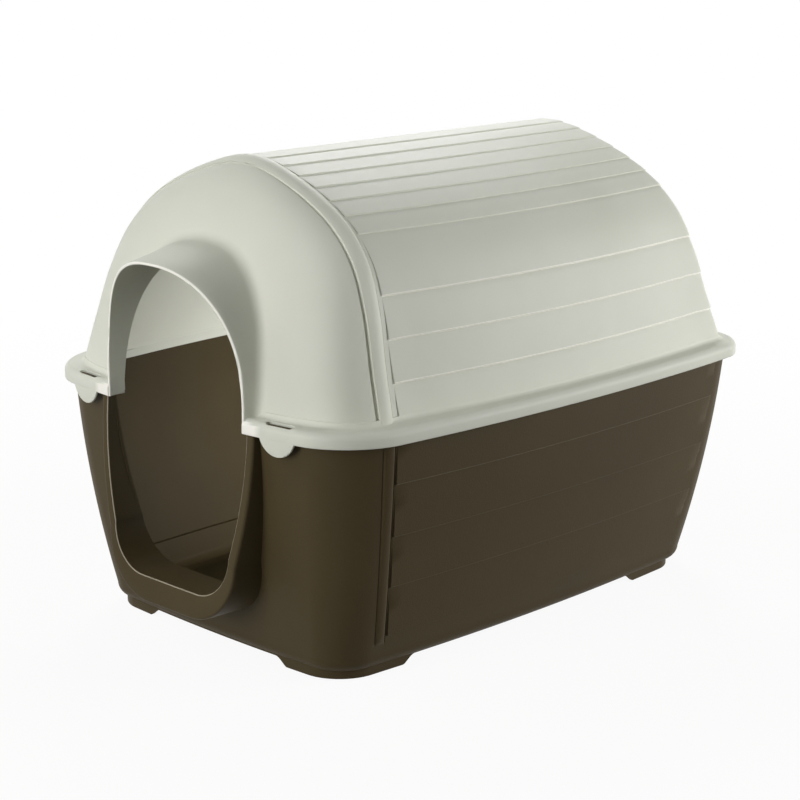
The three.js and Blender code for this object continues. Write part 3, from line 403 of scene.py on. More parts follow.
def plan_ring(plan, z, stations, relief=None):
    """A rounded rectangle in plan whose sides, front and rear bow outward."""
    half, front, rear = plan["half"], plan["front"], plan["rear"]
    rf, rr = plan["front_radius"], plan["rear_radius"]
    length = rear - front
    xs, ys = [], []
    for x in ramp(0, half - rf, FRONT_STEPS)[:-1]:
        xs.append(x)
        ys.append(front)
    for a in ramp(-math.pi / 2, math.asin(stations[0] / rf - 1), CORNER_STEPS)[:-1]:
        xs.append(half - rf * (1 - math.cos(a)))
        ys.append(front + rf * (1 + math.sin(a)))
    for s in stations:
        x = half
        if s < rf:
            x -= rf - math.sqrt(rf ** 2 - (rf - s) ** 2)
        if length - s < rr:
            x -= rr - math.sqrt(rr ** 2 - (rr - length + s) ** 2)
        xs.append(x + (relief(s, length, z) if relief else 0))
        ys.append(front + s)
    for a in ramp(math.asin(1 - (length - stations[-1]) / rr), math.pi / 2, CORNER_STEPS)[1:]:
        xs.append(half - rr * (1 - math.cos(a)))
        ys.append(rear - rr * (1 - math.sin(a)))
    for x in ramp(half - rr, 0, REAR_STEPS)[1:]:
        xs.append(x)
        ys.append(rear)
    right = bowed(plan, np.array(xs), np.array(ys), z)
    left = right[1:-1][::-1] * np.array([-1, 1, 1])
    return np.vstack([right, left])


def plain_stations(plan, steps=24):
    return ramp(plan["front_radius"], plan["rear"] - plan["front"] - plan["rear_radius"], steps)


def column(plan, z0, z1):
    return loft([plan_ring(plan, z, plain_stations(plan)) for z in (z0, z1)])


def latch_frames():
    """Where the four latches sit on the rim, each with its own x along the rim."""
    frames = []
    for x in (-LATCH_X, LATCH_X):
        swell = 1 - (x / RIM["half"]) ** 2
        slope = 2 * x / RIM["half"] ** 2
        front = Matrix.Rotation(math.atan(slope * RIM["front_bow"]), 4, "Z")
        front.translation = Vector((x, RIM["front"] - RIM["front_bow"] * swell, 0)) * MM
        rear = Matrix.Rotation(math.pi - math.atan(slope * RIM["rear_bow"]), 4, "Z")
        rear.translation = Vector((x, RIM["rear"] + RIM["rear_bow"] * swell, 0)) * MM
        frames += [front, rear]
    return frames


def at_latches(obj):
    copies = [twin(obj, m) for m in latch_frames()]
    bpy.data.objects.remove(obj)
    return copies


# ---------- roof: arch, boards, dome ----------


def spline(points, samples):
    points = np.array(points, float)
    count = len(points)
    t = np.linspace(0, count - 1, samples)
    i = np.minimum(t.astype(int), count - 1)
    w = (t - i)[:, None]
    p0, p1 = points[np.maximum(i - 1, 0)], points[i]
    p2, p3 = points[np.minimum(i + 1, count - 1)], points[np.minimum(i + 2, count - 1)]
    v0, v1 = (p2 - p0) / 2, (p3 - p1) / 2
    return (2 * p1 - 2 * p2 + v0 + v1) * w ** 3 + (-3 * p1 + 3 * p2 - 2 * v0 - v1) * w ** 2 + v0 * w + p1


ARCH = spline([(x, z) for x, z in ARCH_POINTS[:0:-1]] + [(-x, z) for x, z in ARCH_POINTS], 6001)
ARCH_STEP = np.concatenate([[0], np.cumsum(np.linalg.norm(np.diff(ARCH, axis=0), axis=1))])
ARCH_LENGTH = ARCH_STEP[-1]
ARCH_NORMAL = np.gradient(ARCH, axis=0)
ARCH_NORMAL /= np.linalg.norm(ARCH_NORMAL, axis=1)[:, None]


def arch_point(length, outward=0.0):
    """Points of the arch by their length from the crest, positive to the right."""
    at = ARCH_LENGTH / 2 - np.asarray(length, float)
    tx, tz = (np.interp(at, ARCH_STEP, ARCH_NORMAL[:, k]) for k in (0, 1))
    x, z = (np.interp(at, ARCH_STEP, ARCH[:, k]) for k in (0, 1))
    return x + tz * outward, z - tx * outward


def arch_front(z):
    return ARCH_FRONT - ARCH_FRONT_LEAN * (CREST - z)


def arch_drop(z):
    """0 at the crest and 1 at the ledge."""
    return np.clip((CREST - z) / (CREST - LEDGE_TOP), 0, 1)


def gable_rear(z):
    return GABLE_REAR + GABLE_LEAN * (CREST - z)


def barrel_bow(x, y):
    along = np.clip((y - ARCH_FRONT) / (GABLE_REAR - ARCH_FRONT), 0, 1)
    return 4 * ARCH_BOW * along * (1 - along) * np.clip(ARCH_BOW_REACH * x / RIM["half"], -1, 1)


SLATS_END = RIDGE_HALF_BOARD + SLAT_COUNT * SLAT_PITCH
BOARD_EDGES = [RIDGE_HALF_BOARD + i * SLAT_PITCH for i in range(SLAT_COUNT + 1)]
BOARD_EDGES += [SLATS_END + sum(SIDE_BOARDS[:i + 1]) for i in range(len(SIDE_BOARDS))]
# a board's slope ends LAP_START before its lower edge, and the edge is rounded over LAP_DEPTH:
# LAP holds shares of that depth with the share of the board's height left there
LAP_START = 1.6
LAP_DEPTH = 0.9
LAP = [(0.6, 0.97), (0.3, 0.86), (0.1, 0.65), (0, 0.35)]
# the fine groove past a board's edge: distance from the edge, and height
LAP_GROOVE = [(0.08, -0.12), (0.35, -0.2), (0.8, 0)]


def board_section():
    """Lengths along the arch and how far the boards stand out there: flush at a board's
    upper edge, proud at its rounded lower edge."""
    edges = [(end, SLAT_PROUD if end <= SLATS_END else SIDE_BOARD_PROUD) for end in BOARD_EDGES]
    start, low = 0.0, SLAT_PROUD / 2
    section = [(start, low)]
    for end, proud in edges + [(ARCH_LENGTH / 2, SIDE_BOARD_PROUD)]:
        last = end == ARCH_LENGTH / 2
        stop = end if last else end - LAP_START
        for at in ramp(start, stop, max(3, int((stop - start) / BOARD_FACET)))[1:]:
            section.append((at, mix(low, proud, (at - start) / (end - start))))
        if not last:
            section.append((end - LAP_DEPTH, proud))
            section += [(end - share * LAP_DEPTH, proud * rise) for share, rise in LAP]
            section += [(end + past, height) for past, height in LAP_GROOVE]
            start, low = section[-1]
    return np.array(section)


def arch_ring(section, place):
    """The arch from foot to foot, with its points put in place by place(x, z)."""
    x, z = arch_point(section[:, 0], section[:, 1])
    x, z = np.append(x, x[-1]), np.append(z, LEDGE_TOP - LEDGE_WALL)
    x = np.concatenate([-x[:0:-1], x])
    z = np.concatenate([z[:0:-1], z])
    return place(x, z)


# distances behind the arch's front, the share of the boards' relief there, and a groove's depth
BOARD_ENDS = [(-1.5, 0, 0), (0.1, 0, 0), (0.3, 0, 0.3), (0.7, 0, 0.45), (1.1, 0.25, 0.3), (1.35, 0.8, 0),
              (1.7, 0.95, 0), (2.2, 1, 0)]


def barrel(section, shrink, bays, edge_steps, relief=False):
    """The arched back of the roof, bowed along its length, with a rounded edge at the gable."""
    rings = []

    def put(share, edge, gap=-1.0, strength=1.0, sunk=0.0):
        lengths, proud = section[:, 0], section[:, 1] * strength - shrink - sunk

        def place(x, z):
            drop = arch_drop(z)
            radius = mix(GABLE_EDGE_TOP, GABLE_EDGE_FOOT, drop)
            rear = gable_rear(z) - shrink - radius * (1 - math.sin(edge))
            flat_rear = gable_rear(z) - shrink - radius
            y = mix(arch_front(z) + gap, flat_rear, share) if share < 1 else rear
            inward = 0 if share < 1 else radius * (1 - math.cos(edge))
            down = inward * np.maximum(0, 1 - drop * GABLE_EDGE_TURN)
            return np.stack([x + barrel_bow(x, y) - inward * x / RIM["half"], y, z - down], 1)

        return arch_ring(np.stack([lengths, proud], 1), place)

    if relief:
        for gap, strength, sunk in BOARD_ENDS:
            rings.append(put(0, 0, gap, strength, sunk))
        rings += [put(share, 0, BOARD_ENDS[-1][0]) for share in ramp(0, 1, bays)[1:-1]]
    else:
        rings += [put(share, 0) for share in ramp(0, 1, bays)[:-1]]
    rings += [put(1, edge) for edge in ramp(0, math.pi / 2, edge_steps)]
    return loft(rings)


def dome_power(z):
    return mix(DOME_TOP_POWER, DOME_FOOT_POWER, (CREST - z) / (CREST - LEDGE_TOP))


def dome_depth(z):
    rise = np.clip((z - LEDGE_TOP) / (CREST - LEDGE_TOP), 0, 1)
    return DOME_DEPTH * np.sqrt(1 - rise ** 2)


HALF_ARCH = np.stack(arch_point(ramp(0, ARCH_LENGTH / 2, 800)), 1)


def arch_width(z):
    return np.interp(-np.asarray(z, float), -HALF_ARCH[:, 1], HALF_ARCH[:, 0])


def dome_face(x, z):
    level = max(z, LEDGE_TOP)
    power = dome_power(level)
    across = min(1.0, abs(x) / max(float(arch_width(level)), 1e-6))
    return arch_front(level) - dome_depth(level) * (1 - across ** power) ** (1 / power)


def dome(shrink, steps, spokes):
    """The rounded front of the roof: a half superellipse in plan at each height."""
    lengths = ramp(0, ARCH_LENGTH / 2, steps)[1:][::-1]
    widths, heights = arch_point(lengths, -shrink)

    def ring_at(width, z, level=None):
        power = dome_power(z)
        depth = max(float(dome_depth(z)) - shrink, 0.5)
        a = ramp(0, math.pi, spokes)
        cos, sin = np.cos(a), np.clip(np.sin(a), 0, 1)
        x = np.sign(cos) * width * np.abs(cos) ** (2 / power)
        y = arch_front(z) - depth * sin ** (2 / power)
        x = np.concatenate([x, [-width, width]])
        y = np.concatenate([y, [arch_front(z) + DOME_OVERLAP] * 2])
        return np.stack([x, y, np.full(len(x), z if level is None else level)], 1)

    rings = [ring_at(widths[0], heights[0], LEDGE_TOP - LEDGE_WALL)]
    rings += [ring_at(w, h) for w, h in zip(widths, heights)]
    crest = float(arch_point(0, -shrink)[1])
    rings.append(ring_at(CAP_HALF, crest - CAP_DROP, crest - CAP_GAP))
    return loft(rings)


def dome_fall(length, ahead):
    """How far inside the arch the dome's skin lies at a distance ahead of the arch."""

    def inside(fall):
        x, z = arch_point(length, -fall)
        return arch_front(z) - dome_face(float(x), float(z)) < ahead

    return halve(DOME_DEPTH / 2, 24, inside)


def rib_ahead(z, share):
    """How far ahead of the arch the rib lies, from its rear foot at share 0 to its front at 1."""
    return mix(RIB_CREST_AHEAD, RIB_FOOT_AHEAD, np.sqrt(arch_drop(z))) + RIB_WIDTH * share


def rib():
    """The half-round rib in front of the boards, laid on the dome's skin."""
    lengths = ramp(0, ARCH_LENGTH / 2, 90)
    heights = arch_point(lengths)[1]
    rings = []
    for a in ramp(0, math.pi, 16):
        share = (1 - math.cos(a)) / 2

        def place(x, z):
            return np.stack([x, arch_front(z) - rib_ahead(z, share), z], 1)

        falls = [dome_fall(s, max(0.0, float(rib_ahead(z, share)))) for s, z in zip(lengths, heights)]
        section = np.stack([lengths, RIB_PROUD * math.sin(a) - RIB_SUNK - np.array(falls)], 1)
        rings.append(arch_ring(section, place))
    return loft(rings)


def crease(share, radius, crest_radius, lift):
    """A round hollow along one foot of the rib, to be cut out."""
    rings = []
    for length in ramp(-ARCH_LENGTH / 2, ARCH_LENGTH / 2, 180):
        z = float(arch_point(length)[1])
        ahead = float(rib_ahead(z, share))
        out = lift - dome_fall(abs(length), max(0.0, ahead))
        r = mix(crest_radius, radius, math.sqrt(float(arch_drop(z))))
        ring = []
        for a in np.linspace(0, 2 * math.pi, 12, endpoint=False):
            x, height = arch_point(length, out + r * math.sin(a))
            ring.append((x, arch_front(z) - ahead - r * math.cos(a), height))
        rings.append(ring)
    return loft(rings)


# ---------- roof: hood and door ----------

HOOD_STEPS = 120


def door_arch(grow):
    a = ramp(0, math.pi, HOOD_STEPS)
    cos, sin = np.cos(a), np.clip(np.sin(a), 0, 1)
    return np.stack([
        np.sign(cos) * (DOOR_HALF + grow) * np.abs(cos) ** (2 / DOOR_POWER),
        DOOR_SPRING + (DOOR_TOP + grow - DOOR_SPRING) * sin ** (2 / DOOR_POWER),
    ], 1)


def arch_sides(points):
    """The outward direction at each point of an outline."""
    before = np.vstack([points[:1], points[:-1]])
    after = np.vstack([points[1:], points[-1:]])
    edge = after - before
    edge /= np.linalg.norm(edge, axis=1)[:, None]
    return np.stack([edge[:, 1], -edge[:, 0]], 1)


def hood_front(x):
    return HOOD_FRONT - HOOD_BOW * (1 - np.minimum(1, np.abs(x) / DOOR_HALF) ** 2)


def hood_line(point, side):
    """One line of the hood, from its front edge back along its wall and down to the dome."""
    x, z = point
    nx, nz = side
    front = float(hood_front(x))

    def wall(depth, out=0.0):
        push = HOOD_DRAFT * depth + out
        return np.array([x + nx * push, front + depth, z + nz * push])

    def inside(depth):
        px, py, pz = wall(depth)
        return py < dome_face(px, pz)

    near = halve(HOOD_REACH, 40, inside)
    radius = min(HOOD_FILLET, HOOD_FILLET_SHARE * near)
    start, corner = wall(near - radius), wall(near)
    end = np.array([corner[0] + nx * radius, 0, corner[2] + nz * radius])
    end[1] = dome_face(end[0], end[2])
    r = HOOD_WALL / 2
    line = [wall(r - r * math.cos(a), r * math.sin(a) - r) for a in ramp(0, math.pi / 2, 4)]
    line += [wall(d) for d in ramp(r, near - radius, 6)[1:-1]]
    for t in ramp(0, 1, 14):
        line.append(start * (1 - t) ** 2 + 2 * corner * t * (1 - t) + end * t * t)
    line.append(np.array([end[0], end[1] + HOOD_SUNK, end[2]]))
    return line


def hood():
    outer = door_arch(HOOD_WALL)
    lines = [hood_line(p, s) for p, s in zip(outer, arch_sides(outer))]
    lines = np.array([lines[0], *lines, lines[-1]])
    lines[[0, -1], :, 2] = LEDGE_TOP - LEDGE_WALL
    return loft(lines.transpose(1, 0, 2))


def door_tunnel():
    """The door's hole, flared over the rounded inner edge of the hood."""
    back = arch_front(DOOR_TOP)
    inner = door_arch(0)
    sides = arch_sides(inner)
    foot = SKIRT_BOTTOM - CUT_PAST

    def ring(grow, depth, flat=None):
        points = inner + sides * grow
        y = hood_front(inner[:, 0]) + depth if flat is None else np.full(len(points), flat)
        body = np.stack([points[:, 0], y, points[:, 1]], 1)
        low = np.array([[DOOR_HALF + grow, y[0], foot], [-DOOR_HALF - grow, y[-1], foot]])
        return np.vstack([low[:1], body, low[1:]])

    r = HOOD_WALL / 2
    rings = [ring(r, 0, TUNNEL_FRONT), ring(r, -0.02)]
    rings += [ring(r - r * math.sin(a), r - r * math.cos(a)) for a in ramp(0, math.pi / 2, 4)[1:]]
    rings.append(ring(0, 0, back))
    return loft(rings)


def jambs():
    outer = DOOR_HALF + HOOD_WALL
    front = float(hood_front(DOOR_HALF))
    right = block(DOOR_HALF, outer, front, front + JAMB_DEPTH, SKIRT_BOTTOM,
                  DOOR_SPRING + JAMB_OVERLAP)
    bake(round_edges(right, JAMB_ROUNDING))
    return [twin(right, Matrix.Scale(-1, 4, (1, 0, 0))), right]


# ---------- roof: rim ----------


def foot_ring(grow, z):
    """The outline of dome, barrel and gable where they stand on the ledge."""
    width = float(arch_width(LEDGE_TOP)) + grow
    front = arch_front(LEDGE_TOP)
    power = dome_power(LEDGE_TOP)
    depth = float(dome_depth(LEDGE_TOP)) + grow
    gable = gable_rear(LEDGE_TOP) + grow
    radius = GABLE_EDGE_FOOT
    a = ramp(math.pi / 2, 0, 60)
    x = list(width * np.clip(np.cos(a), 0, 1) ** (2 / power))
    y = list(front - depth * np.sin(a) ** (2 / power))
    for at in ramp(front, gable - radius, 30)[1:]:
        x.append(width + float(barrel_bow(width, at)))
        y.append(at)
    for inward, short in quarter(radius, 10)[1:]:
        x.append(width - inward * width / RIM["half"])
        y.append(gable - short)
    x += [width / 2, 0]
    y += [gable, gable]
    right = np.stack([x, y, np.full(len(x), float(z))], 1)
    return np.vstack([right, right[1:-1][::-1] * np.array([-1, 1, 1])])


def rim_parts():
    """The rim with its skirt, the lip under the roof's foot, and the cove between the two."""
    rings = [(by, SKIRT_BOTTOM + up) for by, up in RIM_FOOT_ROUNDING]
    rings.append((0, LEDGE_TOP - RIM_EDGE_RADIUS))
    rings += [(by, LEDGE_TOP - down) for by, down in quarter(RIM_EDGE_RADIUS, 10)[1:]]
    outside = loft([plan_ring(inset(RIM, by), z, plain_stations(inset(RIM, by), 40)) for by, z in rings])
    hollow = column(inset(RIM, SKIRT_WALL), SKIRT_BOTTOM - 5, LEDGE_TOP - LEDGE_WALL)
    lip = loft([foot_ring(0, z) for z in (LEDGE_TOP - LEDGE_WALL - LIP_DEPTH, LEDGE_TOP)])
    rings = [foot_ring(out, LEDGE_TOP - COVE_SUNK + up) for up, out in quarter(COVE, 8)]
    rings.append(foot_ring(-0.5, LEDGE_TOP + COVE))
    return cut(outside, hollow), lip, loft(rings)


def finger_tabs():
    half = math.sqrt(TAB_RADIUS ** 2 - (TAB_RADIUS - TAB_DROP) ** 2)
    sweep = math.asin(half / TAB_RADIUS)
    arc = [(TAB_RADIUS * math.sin(a), SKIRT_BOTTOM - TAB_DROP + TAB_RADIUS * (1 - math.cos(a)))
           for a in ramp(-sweep, sweep, 32)]
    root = SKIRT_BOTTOM + LEDGE_WALL
    tab = prism(arc + [(half, root), (-half, root)], "y", TAB_INSET, SKIRT_WALL)
    return at_latches(bake(round_edges(tab, TAB_ROUNDING, angle=50)))


def stadium(length, width, y=0.0):
    """A slot outline with round ends, along x, which starts at the given y."""
    r = width / 2
    right = [(length / 2 - r + r * math.cos(a), r + r * math.sin(a))
             for a in ramp(-math.pi / 2, math.pi / 2, 10)]
    return [(u, v + y) for u, v in right + [(-u, 2 * r - v) for u, v in right]]


def latch_slots():
    outline = stadium(SLOT_LENGTH, SLOT_WIDTH, SKIRT_WALL)
    return at_latches(prism(outline, "z", LEDGE_TOP - LEDGE_WALL - 1, LEDGE_TOP + 1))


def vent_matrix():
    place = Matrix.Rotation(math.atan(GABLE_LEAN), 4, "X")
    place.translation = Vector((0, gable_rear(VENT_CENTRE_HEIGHT), VENT_CENTRE_HEIGHT)) * MM
    return place


def roof_cavity():
    plain = np.stack([ramp(0, ARCH_LENGTH / 2, 60), np.zeros(61)], 1)
    cavity = barrel(plain, ROOF_WALL, bays=16, edge_steps=6)
    foot = loft([foot_ring(-ROOF_WALL, z) for z in (SKIRT_BOTTOM - CUT_PAST, LEDGE_TOP + 1)])
    return add(cavity, dome(ROOF_WALL, steps=40, spokes=80), foot)


def vent_opening():
    opening = block(-VENT_HALF_WIDTH, VENT_HALF_WIDTH, -ROOF_WALL - VENT_CUT, VENT_CUT,
                    -VENT_HALF_HEIGHT, VENT_HALF_HEIGHT)
    return placed(opening, vent_matrix())


def make_roof():
    roof = barrel(board_section(), 0, bays=28, edge_steps=10, relief=True)
    add(roof, dome(0, steps=64, spokes=120), rib())
    cut(roof, crease(1, CREASE_RADIUS, CREASE_CREST_RADIUS, CREASE_LIFT),
        crease(0, GROOVE_RADIUS, GROOVE_RADIUS, GROOVE_LIFT))
    add(roof, hood(), *rim_parts(), *finger_tabs())
    cut(roof, roof_cavity(), door_tunnel())
    add(roof, *jambs())
    cut(roof, *latch_slots(), vent_opening())
    roof.name = "roof_moulding"
    return roof


# ---------- tub ----------


def tub_plan(z):
    """The tub's outer plan at a height: it leans in and its corners change towards the foot."""
    drop = max(0.0, 1 - z / SKIRT_BOTTOM)

    def lean(shares):
        return shares[0] * drop + shares[1] * drop ** 2

    top = inset(RIM, TUB_INSET)
    return dict(top, half=top["half"] - lean(TUB_SIDE_LEAN), front=top["front"] + lean(TUB_FRONT_LEAN),
                rear=top["rear"] - lean(TUB_REAR_LEAN), front_radius=mix(*TUB_FRONT_RADIUS, drop),
                rear_radius=TUB_REAR_RADIUS, side_bow=mix(top["side_bow"], TUB_FOOT_SIDE_BOW, drop),
                front_bow=mix(top["front_bow"], TUB_FOOT_FRONT_BOW, drop))


def panel_stations(length):
    """Stations along the side, close together at the bead, its grooves and the boards' ends."""
    bead = [TUB_BEAD_OFFSET + TUB_BEAD_WIDTH * (1 - math.cos(a)) / 2 for a in ramp(0, math.pi, 12)]
    groove = [TUB_BEAD_GROOVE * t for t in (0.2, 0.5, 0.8, 1)]
    front = [bead[0] - g for g in groove[::-1]] + bead + [bead[-1] + g for g in groove]
    edge = bead[-1] + TUB_BEAD_GAP
    front += [edge, edge + 0.25, edge + TUB_BOARD_STEP]
    edge = length - TUB_BOARD_REAR
    rear = [edge - TUB_BOARD_STEP, edge - 0.25, edge]
    return np.array(front + list(ramp(front[-1], rear[0], 28)[1:-1]) + rear)


def side_relief(station, length, z):
    """How far the bead or board stands out of the tub's side."""
    foot = math.sin(np.clip((z - (TUB_BOARD_FOOT - TUB_BEAD_BELOW)) / TUB_BEAD_FADE, 0, 1) * math.pi / 2)
    bead = (station - TUB_BEAD_OFFSET) / TUB_BEAD_WIDTH
    if 0 <= bead <= 1:
        return TUB_BEAD_PROUD * math.sqrt(1 - (2 * bead - 1) ** 2) * foot
    past = min(abs(bead), abs(bead - 1)) * TUB_BEAD_WIDTH / TUB_BEAD_GROOVE
    if past <= 1:
        return -TUB_GROOVE_DEPTH * math.sin(math.pi * past) * foot
    edge = (station - TUB_BEAD_OFFSET - TUB_BEAD_WIDTH - TUB_BEAD_GAP) / TUB_BOARD_STEP
    edge = min(edge, (length - TUB_BOARD_REAR - station) / TUB_BOARD_STEP)
    if edge <= 0.01:
        return 0
    side = math.sin(min(1, edge) * math.pi / 2)
    board = math.floor((z - TUB_BOARD_FOOT) / TUB_BOARD_PITCH)
    above = (z - TUB_BOARD_FOOT) - board * TUB_BOARD_PITCH
    if board < 0:
        return 0
    lower = math.sin(min(1, above / TUB_BOARD_STEP) * math.pi / 2)
    return TUB_BOARD_PROUD * (1 - above / TUB_BOARD_PITCH) * lower * side


def tub_outside():
    rings = []
    for by, up in quarter(TUB_EDGE_RADIUS, 12)[::-1]:
        plan = inset(tub_plan(TUB_UNDERSIDE + TUB_EDGE_RADIUS), by)
        rings.append(plan_ring(plan, TUB_UNDERSIDE + up, panel_stations(plan["rear"] - plan["front"])))
    levels = list(TUB_LOW_LEVELS)
    for board in range(TUB_BOARD_COUNT):
        foot = TUB_BOARD_FOOT + board * TUB_BOARD_PITCH
        levels += [foot + up for up in TUB_BOARD_LEVELS]
        levels += [z for z in ramp(levels[-1], foot + TUB_BOARD_PITCH, 5)[1:-1] if z < WALL_TOP]
    for z in levels + [WALL_TOP]:
        plan = tub_plan(z)
        rings.append(plan_ring(plan, z, panel_stations(plan["rear"] - plan["front"]), side_relief))
    return loft(rings)


def tub_inside():
    rings = []
    floor_edge = TUB_EDGE_RADIUS - FLOOR_WALL

    def wall_plan(z):
        return inset(tub_plan(z), TUB_WALL + (INNER_STEP if z < INNER_STEP_HEIGHT else 0))

    for by, up in quarter(floor_edge, 8)[::-1]:
        plan = inset(wall_plan(FLOOR_TOP + floor_edge), by)
        rings.append(plan_ring(plan, FLOOR_TOP + up, plain_stations(plan)))
    levels = ramp(INNER_STEP_HEIGHT, WALL_TOP, 12)[:-1]
    for z in (INNER_STEP_HEIGHT - INNER_STEP_RAMP, *levels, WALL_TOP + 1):
        rings.append(plan_ring(wall_plan(z), z, plain_stations(wall_plan(z))))
    return loft(rings)


def collar_outline(top, top_half, sill_half, sill, radius, bow):
    """The right half of a U in front view, from its top down to the middle of its sill."""
    points = []
    for t in ramp(0, 1, 30):
        points.append((mix(top_half, sill_half, t) + 4 * bow * t * (1 - t), mix(top, sill + radius, t)))
    points += [(sill_half - inward, sill + up) for inward, up in quarter(radius, 30)[1:]]
    for x in ramp(sill_half - radius, 0, 8)[1:]:
        points.append((x, sill))
    return np.array(points)


def whole_u(right):
    return np.vstack([right, right[:-1][::-1] * np.array([-1, 1])])


def collar_door(top):
    return whole_u(collar_outline(
        top, COLLAR_TOP_HALF, COLLAR_SILL_HALF, SILL_HEIGHT, COLLAR_RADIUS, COLLAR_BOW))


def collar():
    """The door collar, as a section carried round the U, with rounded front edges."""
    top = SKIRT_BOTTOM - FIT_GAP
    inner = collar_door(top)
    outer = whole_u(collar_outline(
        top, COLLAR_TOP_HALF + COLLAR_SIDE_FACE, COLLAR_SILL_HALF + COLLAR_SIDE_FACE,
        SILL_HEIGHT - COLLAR_SILL_FACE, COLLAR_OUTER_RADIUS, COLLAR_BOW))
    rings = []
    for (xi, zi), (xo, zo) in zip(inner, outer):
        width = math.hypot(xo - xi, zo - zi)
        ux, uz = (xo - xi) / width, (zo - zi) / width

        def at(across, depth):
            x, z = xi + ux * across, zi + uz * across
            return (x, COLLAR_FRONT - COLLAR_TILT * (top - z) + depth, z)

        ring = [at(0, COLLAR_DEPTH), at(0, COLLAR_DEPTH / 2)]
        ring += [at(across, depth) for across, depth in quarter(COLLAR_INNER_EDGE, 5)]
        ring += [at(width - back, depth) for back, depth in quarter(COLLAR_OUTER_EDGE, 5)[::-1]]
        ring += [at(width + COLLAR_FLARE[0], COLLAR_DEPTH / 2), at(width + COLLAR_FLARE[1], COLLAR_DEPTH)]
        rings.append(ring)
    return loft(rings)


def foot_plan():
    plan = tub_plan(TUB_UNDERSIDE + TUB_EDGE_RADIUS)
    return dict(plan, half=plan["half"] - FOOT_SIDE_INSET, front=plan["front"] + FOOT_FRONT_INSET,
                rear=plan["rear"] - FOOT_REAR_INSET, front_radius=FOOT_FRONT_RADIUS,
                rear_radius=FOOT_REAR_RADIUS)


def notch_outline(start, end):
    """The gap between two feet, with an S-shaped rise at each end."""
    height = TUB_UNDERSIDE + 1
    rise = [(NOTCH_CURVE * (t - 1), height * (1 - math.cos(math.pi * t)) / 2) for t in ramp(0, 1, 16)]
    left = [(start + u, z) for u, z in rise]
    right = [(end - u, z) for u, z in rise][::-1]
    return [(start - NOTCH_CURVE, -1)] + left + right + [(end + NOTCH_CURVE, -1)]


def feet():
    plan = foot_plan()
    rings = [(by, FOOT_CLEAR + up) for by, up in FOOT_ROUNDING]
    rings.append((0, TUB_UNDERSIDE + FOOT_ROOT))
    ring = loft([plan_ring(inset(plan, by), z, plain_stations(plan)) for by, z in rings])
    across = notch_outline(-FRONT_NOTCH_HALF, FRONT_NOTCH_HALF)
    along = notch_outline(SIDE_NOTCH_FRONT, SIDE_NOTCH_REAR)
    return cut(
        ring, column(inset(plan, FOOT_WALL), -1, TUB_UNDERSIDE + 0.5),
        prism(across, "y", RIM["front"] - CUT_PAST, RIM["rear"] + CUT_PAST),
        prism(along, "x", -RIM["half"], RIM["half"]))


def pad_places():
    plan = foot_plan()
    x = plan["half"] - PAD_INSET
    return [(s * x, y) for s in (-1, 1) for y in (plan["front"] + PAD_INSET, plan["rear"] - PAD_INSET)]


def drain_y():
    return tub_plan(FLOOR_TOP)["rear"] - DRAIN_FROM_REAR


def panel_plan():
    return inset(inset(tub_plan(FLOOR_TOP), TUB_WALL + TUB_EDGE_RADIUS), FLOOR_GUTTER)


def floor_panel():
    """The raised panel of the floor, with a bay left out round the drain."""
    plan = panel_plan()
    rings = [(0, FLOOR_TOP - 1)] + [(by, PANEL_TOP - down) for by, down in PANEL_ROUNDING]
    panel = loft([plan_ring(inset(plan, by), z, plain_stations(inset(plan, by))) for by, z in rings])
    return cut(panel, disc(DRAIN_BAY_RADIUS, 0, drain_y(), FLOOR_TOP - 2, PANEL_TOP + 1))


def panel_recess():
    """The hollow under the panel, which keeps the floor as thin as its wall."""
    recess = column(inset(panel_plan(), FLOOR_WALL), -1, PANEL_TOP - FLOOR_WALL)
    return cut(recess, disc(DRAIN_BAY_RADIUS + FLOOR_WALL, 0, drain_y(), -2, PANEL_TOP))


def latch_tongues():
    outline = stadium(TONGUE_LENGTH, TONGUE_WALL, SKIRT_WALL + RIM_FIT + FIT_GAP)
    tongue = prism(outline, "z", WALL_TOP - TONGUE_ROOT, LEDGE_TOP - TONGUE_SUNK)
    return at_latches(bake(round_edges(tongue, TONGUE_ROUNDING, segments=2, angle=60)))


def make_tub():
    far_front = RIM["front"] - DOORWAY_AHEAD
    tub = tub_outside()
    add(tub, column(inset(RIM, SKIRT_WALL + RIM_FIT), WALL_TOP - TUB_FLANGE, WALL_TOP), feet())
    cut(tub, tub_inside())
    add(tub, floor_panel())
    cut(tub, panel_recess())
    cut(tub, prism(collar_door(WALL_TOP + CUT_ABOVE), "y", far_front, RIM["front"] + DOORWAY_DEPTH))
    add(tub, cut(collar(), tub_inside()))
    add(tub, *[disc(PAD_BOSS_RADIUS, x, y, FOOT_CLEAR, FLOOR_TOP - 1) for x, y in pad_places()])
    add(tub, *latch_tongues())
    room = DOOR_HALF + HOOD_WALL + RIM_FIT
    cut(tub, *[disc(PAD_RADIUS + FIT_GAP, x, y, -1, PAD_HEIGHT + FIT_GAP) for x, y in pad_places()],
        block(-room, room, far_front, RIM["front"] + HOOD_ROOM_DEPTH, SKIRT_BOTTOM - FIT_GAP,
              WALL_TOP + CUT_ABOVE),
        disc(DRAIN_RADIUS, 0, drain_y(), 0, PANEL_TOP + 2))
    tub.name = "tub_moulding"
    return tub


# ---------- painted highlights on edges, kept as a float attribute of a mesh ---

# painted highlights: thin light lines painted along edges where light would glint, and how far they reach
HOOD_HIGHLIGHT_DEPTH = 0.7
COLLAR_HIGHLIGHT_DEPTH = 0.8
COLLAR_HIGHLIGHT_WIDTH = 0.75
LAST_SLAT_HIGHLIGHT = 0.25
SIDE_HIGHLIGHT_FADE = 20.0
TUB_TOP_BOARD_HIGHLIGHT = 0.3
TUB_BOARD_HIGHLIGHT = 0.12
# heights above a board's foot
TUB_HIGHLIGHT_RANGE = (0.05, 0.9)


